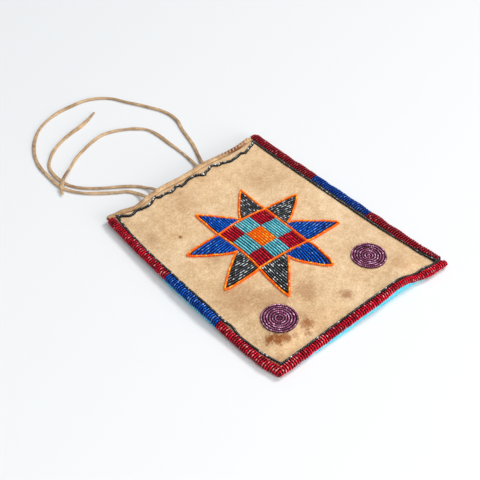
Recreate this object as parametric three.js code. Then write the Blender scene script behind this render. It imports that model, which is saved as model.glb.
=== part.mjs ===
// Beaded flat bag: two hide panels sewn into a pocket, lying on the beaded front with the plain back upwards.
// X runs across the bag, Y from the foot to the mouth, and Z up from the table. All sizes are in millimetres.

import * as THREE from 'three';

// Outline of the bag, to the outside of the bead edging. Half widths are measured from the origin.
const LENGTH = 222.3;
const LEFT_FOOT = 90.2;
const LEFT_MIDDLE = 91.6;
const LEFT_MOUTH = 85;
const RIGHT_FOOT = 92;
const RIGHT_MIDDLE = 86.7;
const RIGHT_MOUTH = 84;
const FOOT_RISE_LEFT = 1.6;
const FOOT_RISE_MIDDLE = 2.6;

// Layers
const HIDE = 1.1;
const BEAD = 1.8;
const ROW = 2.15;
const POCKET = 5.3;
const GAP = 0.3;

// Bead edging, which wraps the seam on both sides and the foot. The lips are measured from the outside.
const LIP = 6.6;
const RIGHT_LIP = 8.8;
const RIGHT_CREST = 0.9;
const LOWER_LIP = 4.1;
const EDGING_RIDGE = 0.45;
const ROWS_PER_EDGING_RIDGE = 2;
const LEFT_EDGING_STOP = 4;
const EDGING_MOUTH_STOP = 0;
const EDGING_CORNER_GAP = 1.6;
const BLUE_BAND = 63.3;
const LEFT_BLUE_MIDDLE = -10.9;
const RIGHT_BLUE_MIDDLE = 0.8;

// Fall of the back panel from its flat middle to the seam and to the mouth
const DOME = 20;
const MOUTH_DOME = 40;

// Height of the seam above where it would lie flat on the table, as [share of the edge, lift]
const LEFT_LIFT = [[0, 0.3], [0.25, 0.9], [0.36, 3.2], [0.5, 3], [0.62, 2.6], [0.75, 2.1], [1, 1.7]];
const RIGHT_LIFT = [[0, 0.3], [0.25, 1.8], [0.36, 2.3], [0.5, 2.6], [0.62, 2.6], [0.75, 2.5], [1, 2.2]];
const FOOT_LIFT = [[0, 0.3], [0.16, 0.7], [0.28, 1.9], [0.4, 3.2], [0.5, 4.4], [0.62, 5.4],
  [0.71, 6.7], [0.765, 5.6], [0.805, 2.8], [0.845, 1.1], [1, 0.3]];

// Mouth edge, as [share of the mouth, drop below the top of the bag] and [share of the mouth, gape]
const MOUTH_DROP = [[0, 2.4], [0.08, 5.4], [0.155, 8.6], [0.225, 8.2], [0.315, 6.2], [0.43, 7.3], [0.5, 7.2],
  [0.61, 5.8], [0.68, 6.5], [0.76, 7], [0.85, 5], [0.935, 1.4], [1, 0.4]];
const MOUTH_GAPE = [[0.09, 3.3], [0.16, 3.3], [0.22, 5.4], [0.31, 5.9], [0.43, 6.9], [0.56, 7.5],
  [0.66, 7.5], [0.76, 6.9], [0.85, 5.6], [0.93, 3.6]];
const MOUTH_CORNER = 0.055;

// Mouth binding
const BINDING = 0.7;
const BINDING_WIDTH = 4.2;

// Light-blue bead field on the front: its first and last row from the lowest corner and from the top of the bag
const FIELD_START = 13.6;
const FIELD_STOP = 14.1;
const FIELD_SIDE = 11.3;
const FIELD_VALLEY = 0.6;
const FIELD_LIFT = 1.85;

// Star: corners of the checker square, middles of its sides, and the tips of the points beside each corner
const STAR_CORNERS = [[-29, 28.8], [20.1, 27.8], [20.3, -22.8], [-29.2, -21]];
const STAR_NOTCHES = [[-3.9, 30.5], [22.6, 3.7], [-3.2, -22.6], [-29.4, 4.6]];
const STAR_TIPS = [[-28.2, 59.2], [20.8, 58.8], [51.8, 24.6], [55.5, -23.7],
  [17.3, -55.9], [-32.2, -58.7], [-64.5, -21.8], [-63.6, 26.9]];
// How far the edge from each tip back to the square bows out
const STAR_BOWS = [0.9, 1.6, 2, 2.2, 3.6, 1.8, 1.7, 2.6];
const CHECKER_COLUMNS = [-13, 3.9];
const CHECKER_ROWS = [-5.9, 14.9];
const LANE_RIDGE = 0.5;
const LINE = 1.8;

// Rosettes, with each middle as [x, distance above the lowest corner of the bag]
const ROSETTES = { left: [-52.9, 40.45], right: [45.6, 44.25] };
const ROSETTE_RADIUS = 14.6;
const ROSETTE_RIDGES = 4;
const ROSETTE_SIDES = 16;

// Wavy bead line below the mouth, as [x, distance below the top of the bag]
const MOUTH_LINE = [[-76, 9.55], [-68.9, 15.75], [-60.9, 13.85], [-51.2, 17.15], [-46.6, 16.45], [-40, 13.15],
  [-36.8, 15.55], [-30.2, 14.95], [-26, 16.75], [-19.7, 14.25], [-15, 16.95], [-6.3, 14.15], [1.5, 14.25],
  [5, 15.75], [8.5, 18.85], [11.5, 16.15], [15.5, 15.55], [18.7, 13.25], [21.7, 13.45], [24.7, 16.25],
  [29.5, 16.25], [37.6, 18.85], [47, 17.15], [51.2, 15.55], [55.2, 17.25], [63.6, 13.15], [71, 10.75]];

// Carrying thong, and the middle line of its loop and tails from inside the mouth to their ends,
// as [x, distance beyond the top of the bag, z]
const THONG_WIDTH = 3.4;
const THONG_THICKNESS = 1.7;
const THONG_STEP = 13.5;
const CARRY_LOOP = [[19, -27.15, 5.6], [19, -15.15, 5.9], [19.5, -7.15, 6.2], [21.4, -1.65, 5.6],
  [24.8, 5.85, 2.4], [29.4, 16.85, 1.1], [35.1, 31.15, 1.1], [41.6, 54.85, 1.1], [46.6, 69.85, 1.1],
  [46, 84.85, 1.1], [37.3, 104.65, 1.1], [27.4, 122.45, 1.1], [19.6, 136.15, 1.1], [9.7, 144.55, 1.1],
  [-1.1, 149.05, 1.1], [-16, 150.05, 1.1], [-30, 149.55, 1.1], [-44, 146.15, 1.1], [-56.3, 140.05, 1.1],
  [-67.5, 130.35, 1.1], [-76.7, 118.05, 1.1], [-83.6, 104.15, 1.1], [-86.6, 92.15, 1.1], [-87.7, 79.35, 1.1],
  [-88, 63.85, 1.1], [-86.2, 54.25, 1.1], [-78.6, 42.05, 1.1], [-67, 31.25, 1.1], [-55, 22.45, 1.1],
  [-47.6, 17.45, 1.1], [-43.6, 10.85, 1.4], [-42.4, 2.85, 3.6], [-42.6, -3.65, 5.8], [-43, -10.15, 6],
  [-43, -17.15, 5.8], [-43, -27.15, 5.6]];
const RIGHT_TAIL = [[11.5, -27.15, 5.6], [11.5, -15.15, 5.9], [12.2, -7.15, 6.2], [14.8, -1.65, 5.6],
  [18.2, 5.85, 2.5], [20, 16.85, 1.1], [20.6, 30.85, 1.1], [20.2, 46.85, 1.1], [19.8, 63.05, 1.1],
  [17, 75.65, 1.1], [10.3, 82.95, 1.1], [1.4, 89.25, 1.1], [-9.1, 93.75, 1.1], [-18, 95.45, 1.1],
  [-29.5, 93.65, 1.1], [-42.7, 89.05, 1.1], [-54.6, 83.65, 1.1], [-66.5, 75.65, 1.4], [-74, 70.25, 2.5],
  [-80, 65.65, 3.2], [-85, 60.45, 3.2], [-89.4, 54.75, 3], [-92.4, 49.25, 2.2]];
const LEFT_TAIL = [[-31.5, -27.15, 5.6], [-31.5, -16.15, 5.9], [-31.2, -10.15, 6.2], [-30.4, -3.65, 6],
  [-30.4, 2.85, 4], [-32.4, 9.85, 1.8], [-36.6, 16.85, 1.1], [-46, 24.85, 1.1], [-59, 33.65, 1.1],
  [-70, 42.25, 1.1], [-77.8, 50.85, 1.1], [-81.8, 59.85, 1.1], [-83.2, 68.85, 1.1], [-82.8, 78.45, 1.1],
  [-80.4, 87.85, 1.1], [-73.4, 97.25, 1.1], [-64.2, 105.05, 1.1], [-52, 111.55, 1.1], [-37.2, 116.35, 1.1],
  [-26, 118.85, 1.1], [-16.2, 122.45, 1.1], [-4.6, 127.95, 1.1]];

// Levels and clearances that follow from the layers
const FRONT_UNDER = BEAD + GAP;
const FRONT_TOP = FRONT_UNDER + HIDE;
const CEILING = FRONT_TOP + POCKET;
const FACE = CEILING + HIDE;
const SLOT_HALF = HIDE + 1.5 * GAP;
const EDGING_HALF = SLOT_HALF + BEAD;
const PANEL_INSET = BEAD + 2 * GAP;
const SEAM_LYING = FRONT_TOP + GAP / 2;
const LINE_INSET = LIP + GAP + LINE / 2;
const RIGHT_LINE_INSET = RIGHT_LIP + GAP + LINE / 2;
const TOP = LENGTH / 2;

const { clamp, lerp } = THREE.MathUtils;
const vec = (x, y, z) => new THREE.Vector3(x, y, z);
const flat = ([x, y]) => new THREE.Vector2(x, y);

// Straight pieces between [position, value] knots
function polyline(knots) {
  return (at) => {
    const next = knots.findIndex(([position]) => position >= at);
    if (next === 0) return knots[0][1];
    if (next < 0) return knots[knots.length - 1][1];
    const [from, low] = knots[next - 1];
    const [to, high] = knots[next];
    return lerp(low, high, (at - from) / (to - from));
  };
}

const throughThree = (start, middle, end, s) =>
  start * (1 - s) * (1 - 2 * s) + 4 * middle * s * (1 - s) + end * s * (2 * s - 1);

// Outline of the bag
const sideShare = (y) => (y + TOP) / LENGTH;
const footShare = (x) => (x + LEFT_FOOT) / (LEFT_FOOT + RIGHT_FOOT);
const mouthShare = (x) => (x + LEFT_MOUTH) / (LEFT_MOUTH + RIGHT_MOUTH);
const leftEdge = (y) => -throughThree(LEFT_FOOT, LEFT_MIDDLE, LEFT_MOUTH, sideShare(y));
const rightEdge = (y) => throughThree(RIGHT_FOOT, RIGHT_MIDDLE, RIGHT_MOUTH, sideShare(y));
const footEdge = (x) => -TOP + throughThree(FOOT_RISE_LEFT, FOOT_RISE_MIDDLE, 0, footShare(x));
const mouthDrop = polyline(MOUTH_DROP);
const mouthEdge = (x) => TOP - mouthDrop(mouthShare(x));

// Height of the seam along each edge
const leftLiftAt = polyline(LEFT_LIFT);
const rightLiftAt = polyline(RIGHT_LIFT);
const footLiftAt = polyline(FOOT_LIFT);
const leftLift = (y) => leftLiftAt(sideShare(y));
const rightLift = (y) => rightLiftAt(sideShare(y));
const footLift = (x) => footLiftAt(footShare(x));

// Underside of the back panel: a flat ceiling that eases to the seam height at the edges and to the mouth's gape
const seamUnder = (lift) => SEAM_LYING + lift + GAP / 2;
const mouthUnderAt = polyline([
  [0, seamUnder(leftLiftAt(1))],
  [MOUTH_CORNER, seamUnder(leftLiftAt(1))],
  ...MOUTH_GAPE.map(([share, gape]) => [share, FRONT_TOP + gape]),
  [1 - MOUTH_CORNER, seamUnder(rightLiftAt(1))],
  [1, seamUnder(rightLiftAt(1))],
]);

function fade(distance, reach) {
  const t = clamp(distance / reach, 0, 1);
  return (1 - t) * (1 - t) * (1 + 2 * t);
}

function backUnder(x, y) {
  const left = fade(x - leftEdge(y) - LIP, DOME);
  const right = fade(rightEdge(y) - x - RIGHT_LIP, DOME);
  const foot = fade(y - footEdge(x) - LIP, DOME);
  const mouth = fade(mouthEdge(x) - y, MOUTH_DOME);
  const dropLeft = seamUnder(leftLift(y)) - CEILING;
  const dropRight = seamUnder(rightLift(y)) - CEILING;
  const dropFoot = seamUnder(footLift(x)) - CEILING;
  const dropMouth = mouthUnderAt(mouthShare(x)) - CEILING;
  const corners = foot * (left * (seamUnder(footLiftAt(0)) - CEILING) + right * (seamUnder(footLiftAt(1)) - CEILING))
    + mouth * (left * (mouthUnderAt(0) - CEILING) + right * (mouthUnderAt(1) - CEILING));
  return CEILING + left * dropLeft + right * dropRight + foot * dropFoot + mouth * dropMouth - corners;
}

// A closed body from points and triangles, turned so that its faces point outwards
function solid(points, triangles) {
  const cross = vec();
  const volume = triangles.reduce((sum, [a, b, c]) =>
    sum + points[a].dot(cross.crossVectors(points[b], points[c])), 0);
  const outward = volume > 0 ? triangles : triangles.map(([a, b, c]) => [a, c, b]);
  const geometry = new THREE.BufferGeometry().setFromPoints(points);
  geometry.setIndex(outward.flat());
  geometry.computeVertexNormals();
  return geometry;
}

// Triangles that close a section, turning the same way as the section does
function sectionTriangles(section) {
  const turn = Math.sign(THREE.ShapeUtils.area(section));
  return THREE.ShapeUtils.triangulateShape(section, []).map(([a, b, c]) => {
    const same = Math.sign(THREE.ShapeUtils.area([section[a], section[b], section[c]])) === turn;
    return same ? [a, b, c] : [a, c, b];
  });
}

// Triangles that close a narrow ring by stepping along its outgoing points and its returning ones together
function stripTriangles(ring, outgoing) {
  const triangles = [];
  let out = 0;
  let back = ring.length - 1;
  while (out < outgoing - 1 || back > outgoing) {
    const onward = back === outgoing || (out < outgoing - 1 && ring[out + 1].y < ring[back - 1].y);
    triangles.push(onward ? [out, out + 1, back] : [out, back - 1, back]);
    if (onward) out += 1;
    else back -= 1;
  }
  return triangles;
}

// A body through a row of rings, closed at both ends by the given triangles
function loft(rings, ends) {
  const count = rings[0].length;
  const last = (rings.length - 1) * count;
  const triangles = [];
  for (let start = 0; start < last; start += count) {
    for (let k = 0; k < count; k += 1) {
      const a = start + k;
      const b = start + ((k + 1) % count);
      triangles.push([a, b, b + count], [a, b + count, a + count]);
    }
  }
  for (const [a, b, c] of ends) {
    triangles.push([a, c, b], [a + last, b + last, c + last]);
  }
  return solid(rings.flat(), triangles);
}

// A sheet between an upper and a lower grid of points
function sheet(upper, lower) {
  const columns = upper.length;
  const rows = upper[0].length;
  const top = (i, j) => i * rows + j;
  const under = (i, j) => columns * rows + i * rows + j;
  const triangles = [];
  const quad = (a, b, c, d) => triangles.push([a, b, c], [a, c, d]);
  for (let i = 0; i + 1 < columns; i += 1) {
    for (let j = 0; j + 1 < rows; j += 1) {
      quad(top(i, j), top(i + 1, j), top(i + 1, j + 1), top(i, j + 1));
      triangles.push([under(i, j), under(i + 1, j + 1), under(i + 1, j)]);
      triangles.push([under(i, j), under(i, j + 1), under(i + 1, j + 1)]);
    }
    quad(top(i + 1, 0), top(i, 0), under(i, 0), under(i + 1, 0));
    quad(top(i, rows - 1), top(i + 1, rows - 1), under(i + 1, rows - 1), under(i, rows - 1));
  }
  for (let j = 0; j + 1 < rows; j += 1) {
    quad(top(0, j), top(0, j + 1), under(0, j + 1), under(0, j));
    quad(top(columns - 1, j + 1), top(columns - 1, j), under(columns - 1, j), under(columns - 1, j + 1));
  }
  return solid([...upper.flat(), ...lower.flat()], triangles);
}

// Columns and rows of a panel: set back from the edges by given steps, and at the knots of the lifts between them
const inner = (knots) => knots.slice(1, -1).map(([share]) => share);
const footShares = inner(FOOT_LIFT);
const sideShares = inner(LEFT_LIFT);

function columnStations(steps, shares, rightSteps = steps) {
  const along = (share) => lerp(-LEFT_FOOT, RIGHT_FOOT, share);
  const narrowing = (y) => (rightEdge(y) - leftEdge(y)) / (LEFT_FOOT + RIGHT_FOOT);
  return [
    ...steps.map((step) => (y) => leftEdge(y) + step),
    ...shares.map((share, k) => (y) => {
      const inside = rightEdge(y) - rightSteps.at(-1) - 2 * (shares.length - k);
      return footNear(y) ? along(share) : Math.min(along(share) * narrowing(y), inside);
    }),
    ...rightSteps.toReversed().map((step) => (y) => rightEdge(y) - step),
  ];
}

const footNear = (y) => y < -TOP + LIP + DOME;

function rowStations(steps, shares, mouthSteps) {
  return [
    ...steps.map((step) => (x) => footEdge(x) + step),
    ...shares.map((share) => () => lerp(-TOP, TOP, share)),
    ...mouthSteps.map((step) => (x) => mouthEdge(x) - step),
  ];
}

// The point of a panel where a column meets a row
function crossing(column, row) {
  let y = row(0);
  let x = column(y);
  for (let pass = 0; pass < 4; pass += 1) {
    y = row(x);
    x = column(y);
  }
  return [x, y];
}

const EDGE_STEPS = [PANEL_INSET, LIP, 11, 18, LIP + DOME];
const RIGHT_STEPS = [PANEL_INSET, RIGHT_LIP, 13, 19.5, LIP + DOME];
const MOUTH_STEPS = [MOUTH_DOME, 18, BINDING_WIDTH + 1, 0];
const backColumns = columnStations(EDGE_STEPS, footShares, RIGHT_STEPS);
const backRows = rowStations(EDGE_STEPS, sideShares, MOUTH_STEPS);

function backPanel() {
  const under = backColumns.map((column) => backRows.map((row) => {
    const [x, y] = crossing(column, row);
    return vec(x, y, backUnder(x, y));
  }));
  const upper = under.map((line) => line.map((point) => point.clone().setZ(point.z + HIDE)));
  return sheet(upper, under);
}

// Front panel: flat on its beads, with a wall that stands up to the seam where the edge lifts
const WALL = LOWER_LIP + GAP;
const WALL_RISE = [1, 1, 0.35, 0.04, 0];
const WALL_INNER = [PANEL_INSET, WALL + HIDE, WALL + HIDE + 0.4, 9.5, 16];
const WALL_OUTER = [PANEL_INSET, WALL, WALL + 0.4, 8.4, 16];
const FRONT_MOUTH_STEPS = [12, 0];
const frontColumns = columnStations(WALL_OUTER, footShares);

function frontPanel() {
  const layer = (steps, base) => {
    const columns = columnStations(steps, footShares);
    const rows = rowStations(steps, sideShares, FRONT_MOUTH_STEPS);
    const last = columns.length - 1;
    return columns.map((column, i) => rows.map((row, j) => {
      const [x, y] = crossing(column, row);
      const left = (WALL_RISE[i] ?? 0) * leftLift(y);
      const right = (WALL_RISE[last - i] ?? 0) * rightLift(y);
      const foot = (WALL_RISE[j] ?? 0) * footLift(x);
      return vec(x, y, base + Math.max(left, right, foot));
    }));
  };
  return sheet(layer(WALL_INNER, FRONT_TOP), layer(WALL_OUTER, FRONT_UNDER));
}

// Bead edging: a hooked section that grips the seam, ridged where its lanes cross the edge
const edgingSection = (lip, crest) => [
  [lip, SLOT_HALF], [lip - 1.4 * BEAD - 2 * crest, EDGING_HALF + crest], [0, 0.4 * EDGING_HALF],
  [0.9 * BEAD, 0.1 - EDGING_HALF], [LOWER_LIP, -SLOT_HALF], [BEAD + GAP, -SLOT_HALF], [BEAD + GAP, SLOT_HALF],
].map(flat);
const EDGING_SECTION = edgingSection(LIP, 0);
const RIGHT_SECTION = edgingSection(RIGHT_LIP, RIGHT_CREST);
const EDGING_RIDGED = [1, 2, 3];

function edging(edgePoint, from, to, section = EDGING_SECTION) {
  const core = flat([section[0].x / 2, 0]);
  const length = Math.abs(to - from);
  const ridges = Math.max(2, Math.round(length / (ROW * ROWS_PER_EDGING_RIDGE)));
  const rings = [];
  for (let k = 0; k <= 2 * ridges; k += 1) {
    const at = lerp(from, to, k / (2 * ridges));
    const depth = k % 2 ? 0 : EDGING_RIDGE;
    const { point, inward } = edgePoint(at);
    rings.push(section.map((corner, index) => {
      const place = corner.clone();
      if (EDGING_RIDGED.includes(index)) {
        place.lerp(core, depth / place.distanceTo(core));
      }
      return vec(point.x + inward.x * place.x, point.y + inward.y * place.x, point.z + place.y);
    }));
  }
  return loft(rings, sectionTriangles(section));
}

const leftPoint = (y) => ({ point: vec(leftEdge(y), y, SEAM_LYING + leftLift(y)), inward: vec(1, 0, 0) });
const rightPoint = (y) => ({ point: vec(rightEdge(y), y, SEAM_LYING + rightLift(y)), inward: vec(-1, 0, 0) });
const footPoint = (x) => ({ point: vec(x, footEdge(x), SEAM_LYING + footLift(x)), inward: vec(0, 1, 0) });

// Front bead field: straight rows across the front, each one a ridge, between strips that climb the panel's walls
const wallHeight = (lift) => Math.max(0, lift - GAP - BEAD);

// Share of the way that a strip's edge moves out under the edging: all of it where the seam is high enough
function wallShares(knots) {
  return polyline(knots.map(([share, lift]) => [share, lift < FIELD_LIFT ? 0 : 1]));
}

const leftWall = wallShares(LEFT_LIFT);
const rightWall = wallShares(RIGHT_LIFT);
const footWall = wallShares(FOOT_LIFT);
const FIELD_FLAT_EDGE = WALL + GAP;
const FIELD_WALL_EDGE = BEAD + GAP;
const FIELD_FOOT = -TOP + FIELD_START;
const FIELD_MOUTH = TOP - FIELD_STOP;
const fieldStations = [FIELD_FOOT, ...sideShares.map((share) => lerp(-TOP, TOP, share)), FIELD_MOUTH];
const fieldLeft = polyline(fieldStations.map((y) => [y, leftEdge(y) + FIELD_SIDE]));
const fieldRight = polyline(fieldStations.map((y) => [y, rightEdge(y) - FIELD_SIDE]));

function frontField() {
  const rows = Math.round((FIELD_MOUTH - FIELD_FOOT) / ROW);
  const along = (k) => lerp(FIELD_FOOT, FIELD_MOUTH, k / rows);
  const under = [];
  for (let k = 0; k < rows; k += 1) {
    if (k > 0) under.push([along(k), FIELD_VALLEY]);
    under.push([along(k + 0.15), 0], [along(k + 0.85), 0]);
  }
  const section = [...under, ...fieldStations.toReversed().map((y) => [y, BEAD])];
  const rings = [fieldLeft, fieldRight].map((edge) => section.map(([y, z]) => vec(edge(y), y, z)));
  return loft(rings, stripTriangles(rings[0], under.length));
}

// Section of a strip of rows that runs out to the edging and up the wall, as [distance from the outside, height]
function stripSection({ lift, wall, reach }) {
  const edge = lerp(FIELD_FLAT_EDGE, FIELD_WALL_EDGE, wall);
  const top = BEAD + wallHeight(lift);
  const inside = (share) => lerp(BEAD, top, share);
  return [
    [edge, top], [edge + 0.1, 0.5 * top], [edge + 1, 0.12 * top], [edge + 3.8, 0], [reach, 0], [reach, BEAD],
    [edge + BEAD + 4.2, BEAD], [edge + BEAD + 1.6, inside(0.05)], [edge + BEAD + 0.1, inside(0.4)], [edge + BEAD, top],
  ].map(flat);
}

function fieldStrip(stations) {
  const rings = stations.map((station) => stripSection(station).map((corner) =>
    station.point.clone().setZ(corner.y).addScaledVector(station.inward, corner.x)));
  return loft(rings, sectionTriangles(stripSection(stations[0])));
}

function sideStrip(edgePoint, lift, wall) {
  const reach = FIELD_SIDE - GAP;
  return fieldStrip(fieldStations.map((y) => ({ ...edgePoint(y), lift: lift(y), wall: wall(sideShare(y)), reach })));
}

function footStrip() {
  const knots = footShares.map((share) => lerp(-LEFT_FOOT, RIGHT_FOOT, share));
  const stations = [FIELD_FLAT_EDGE - LEFT_FOOT, ...knots, RIGHT_FOOT - FIELD_FLAT_EDGE];
  return fieldStrip(stations.map((x) => {
    const reach = FIELD_FOOT - GAP - footEdge(x);
    return { ...footPoint(x), lift: footLift(x), wall: footWall(footShare(x)), reach };
  }));
}

// Mouth binding: a strip folded over the cut edge of a panel, at the panel's own columns
function binding(under, columns, first) {
  const top = HIDE + GAP;
  const outside = top + BINDING;
  const end = -GAP - BINDING;
  const section = [
    [BINDING_WIDTH, top], [BINDING_WIDTH, outside], [end, outside], [end, end],
    [BINDING_WIDTH, end], [BINDING_WIDTH, -GAP], [-GAP, -GAP], [-GAP, top],
  ].map(flat);
  const stations = columns.slice(first, columns.length - first);
  const rings = stations.map((column) => {
    const [x, y] = crossing(column, mouthEdge);
    const edgeLevel = under(x, y);
    const slope = (under(x, y - BINDING_WIDTH - 1) - edgeLevel) / (BINDING_WIDTH + 1);
    return section.map((corner) => vec(x, y - corner.x, edgeLevel + slope * corner.x + corner.y));
  });
  return loft(rings, sectionTriangles(section));
}

// Height of the back panel's upper face, found by looking straight down on it
const backGeometry = backPanel();
const backTarget = new THREE.Mesh(backGeometry, new THREE.MeshBasicMaterial());
const downward = new THREE.Raycaster();
function faceHeight(x, y) {
  downward.set(vec(x, y, 4 * FACE), vec(0, 0, -1));
  const [hit] = downward.intersectObject(backTarget);
  return hit ? hit.point.z : FACE;
}

// A single line of beads sewn on the back panel along a row of [x, y] points
const LINE_SECTION = [[-LINE / 2, 0], [LINE / 2, 0], [0.3 * LINE, BEAD], [-0.3 * LINE, BEAD]].map(flat);

function beadLine(route) {
  const points = route.map(flat);
  const rings = points.map((point, k) => {
    const before = points[Math.max(0, k - 1)];
    const after = points[Math.min(points.length - 1, k + 1)];
    const along = after.clone().sub(before).normalize();
    return LINE_SECTION.map((corner) => {
      const x = point.x - along.y * corner.x;
      const y = point.y + along.x * corner.x;
      return vec(x, y, faceHeight(x, y) + GAP + corner.y);
    });
  });
  return loft(rings, sectionTriangles(LINE_SECTION));
}

// Polygon moved inwards by a distance, or outwards by a negative one
function insetPolygon(polygon, distance) {
  const points = polygon.map(flat);
  const turn = Math.sign(THREE.ShapeUtils.area(points));
  return points.map((point, k) => {
    const before = point.clone().sub(points.at(k - 1)).normalize();
    const after = points[(k + 1) % points.length].clone().sub(point).normalize();
    const bisector = flat([-(before.y + after.y), before.x + after.x]).multiplyScalar(turn);
    const reach = distance / (0.5 * bisector.lengthSq());
    return point.clone().addScaledVector(bisector, reach);
  });
}

// The middle of a line, moved away from a place beside it
function bowedMiddle(start, end, beside, bow) {
  const line = flat(end).sub(flat(start));
  const normal = flat([line.y, -line.x]).normalize();
  const middle = flat(start).lerp(flat(end), 0.5);
  const away = Math.sign(normal.dot(middle.clone().sub(flat(beside))));
  return middle.addScaledVector(normal, away * bow).toArray();
}

// The eight points of the star: each stands on half a side of the checker square
const starPoints = STAR_TIPS.map((tip, k) => {
  const side = Math.floor(k / 2);
  const corner = STAR_CORNERS[(side + (k % 2)) % 4];
  const notch = STAR_NOTCHES[side];
  const bulge = bowedMiddle(tip, notch, corner, STAR_BOWS[k]);
  return { corner, tip, bulge, notch };
});
const starSquare = STAR_CORNERS.flatMap((corner, side) => [corner, STAR_NOTCHES[side]]);
const starRim = STAR_CORNERS.flatMap((corner, side) =>
  [corner, STAR_TIPS[2 * side], starPoints[2 * side].bulge, STAR_NOTCHES[side],
    starPoints[2 * side + 1].bulge, STAR_TIPS[2 * side + 1]]);
const starLevel = FACE + GAP;

// One bead line around every point and the square
function starOutline() {
  const shape = new THREE.Shape(insetPolygon(starRim, -LINE / 2).reverse());
  for (const { corner, tip, bulge, notch } of starPoints) {
    shape.holes.push(new THREE.Path(insetPolygon([corner, tip, bulge, notch], LINE / 2)));
  }
  shape.holes.push(new THREE.Path(insetPolygon(starSquare, LINE / 2)));
  return new THREE.ExtrudeGeometry(shape, { depth: BEAD, bevelEnabled: false }).translate(0, 0, starLevel);
}

// A point of the star, in lanes that run out from the square
function starPoint({ corner, tip, bulge, notch }) {
  const [a, b, middle, c] = insetPolygon([corner, tip, bulge, notch], LINE / 2 + GAP);
  const across = Math.abs(corner[0] - notch[0]) > Math.abs(corner[1] - notch[1]) ? 'x' : 'y';
  const lanes = Math.round(Math.abs(a[across] - c[across]) / (2 * ROW));
  const rings = [];
  for (let k = 0; k <= 2 * lanes; k += 1) {
    const share = 0.96 * k / (2 * lanes);
    const near = a.clone().lerp(c, share);
    const far = share < 0.5 ? b.clone().lerp(middle, 2 * share) : middle.clone().lerp(c, 2 * share - 1);
    const height = starLevel + BEAD - (k % 2 ? 0 : LANE_RIDGE);
    rings.push([vec(near.x, near.y, starLevel), vec(far.x, far.y, starLevel),
      vec(far.x, far.y, height), vec(near.x, near.y, height)]);
  }
  return loft(rings, [[0, 1, 2], [0, 2, 3]]);
}

// A square of the checker, in lanes along Y
function checkerSquare(x0, x1, y0, y1) {
  const lanes = Math.round((x1 - x0) / ROW);
  const section = [flat([x1, starLevel]), flat([x0, starLevel])];
  for (let k = 0; k <= 2 * lanes; k += 1) {
    const height = starLevel + BEAD - (k % 2 ? 0 : LANE_RIDGE);
    section.push(flat([lerp(x0, x1, k / (2 * lanes)), height]));
  }
  const rings = [y0, y1].map((y) => section.map((corner) => vec(corner.x, y, corner.y)));
  return loft(rings, sectionTriangles(section));
}

// A rosette of beads wound from its middle, turned from its ridged half section
function rosette([x, above]) {
  const y = above - TOP;
  const level = faceHeight(x, y) + GAP;
  const pitch = ROSETTE_RADIUS / ROSETTE_RIDGES;
  const profile = [flat([0, BEAD])];
  for (let k = 0; k < ROSETTE_RIDGES; k += 1) {
    if (k) profile.push(flat([k * pitch, BEAD - LANE_RIDGE]));
    profile.push(flat([(k + 0.5) * pitch, BEAD]));
  }
  profile.push(flat([ROSETTE_RADIUS, 0.4 * BEAD]), flat([ROSETTE_RADIUS - 0.4, 0]), flat([0, 0]));
  const turned = new THREE.LatheGeometry(profile.toReversed(), ROSETTE_SIDES);
  return turned.rotateX(Math.PI / 2).translate(x, y, level);
}

// A stretch of the thong, swept along its middle line
function thong(route) {
  const halfThick = THONG_THICKNESS / 2;
  const halfWide = THONG_WIDTH / 2;
  const corners = [[1, 0.6], [0.45, 1], [-0.45, 1], [-1, 0.6], [-1, -0.6], [-0.45, -1], [0.45, -1], [1, -0.6]];
  const section = new THREE.Shape(corners.map(([a, b]) => flat([b * halfWide, a * halfThick])));
  const path = new THREE.CatmullRomCurve3(route.map(([x, beyond, z]) => vec(x, TOP + beyond, z)));
  const steps = Math.round(path.getLength() / THONG_STEP);
  return new THREE.ExtrudeGeometry(section, { steps, bevelEnabled: false, extrudePath: path });
}

// Finishes
const finish = (color, roughness) => new THREE.MeshStandardMaterial({ color, roughness, metalness: 0 });
const hide = finish(0xd9b98f, 0.9);
const bindingHide = finish(0xb98a58, 0.9);
const thongHide = finish(0xa98a62, 0.9);
const redBead = finish(0x8e1022, 0.25);
const blueBead = finish(0x14459c, 0.25);
const darkBead = finish(0x22282c, 0.2);
const orangeBead = finish(0xf06414, 0.3);
const turquoiseBead = finish(0x4fa3a8, 0.3);
const lightBlueBead = finish(0x46c3ea, 0.3);
const purpleBead = finish(0x5c2a4c, 0.25);

const bag = new THREE.Group();
function add(name, geometry, material) {
  const mesh = new THREE.Mesh(geometry, material);
  mesh.name = name;
  bag.add(mesh);
}

// Panels and bindings
add('back_panel', backGeometry, hide);
add('front_panel', frontPanel(), hide);
add('front_bead_field', frontField(), lightBlueBead);
add('front_bead_left', sideStrip(leftPoint, leftLift, leftWall), lightBlueBead);
add('front_bead_right', sideStrip(rightPoint, rightLift, rightWall), lightBlueBead);
add('front_bead_foot', footStrip(), lightBlueBead);
add('back_mouth_binding', binding(backUnder, backColumns, 2), bindingHide);
add('front_mouth_binding', binding(() => FRONT_UNDER, frontColumns, 4), bindingHide);

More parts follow.
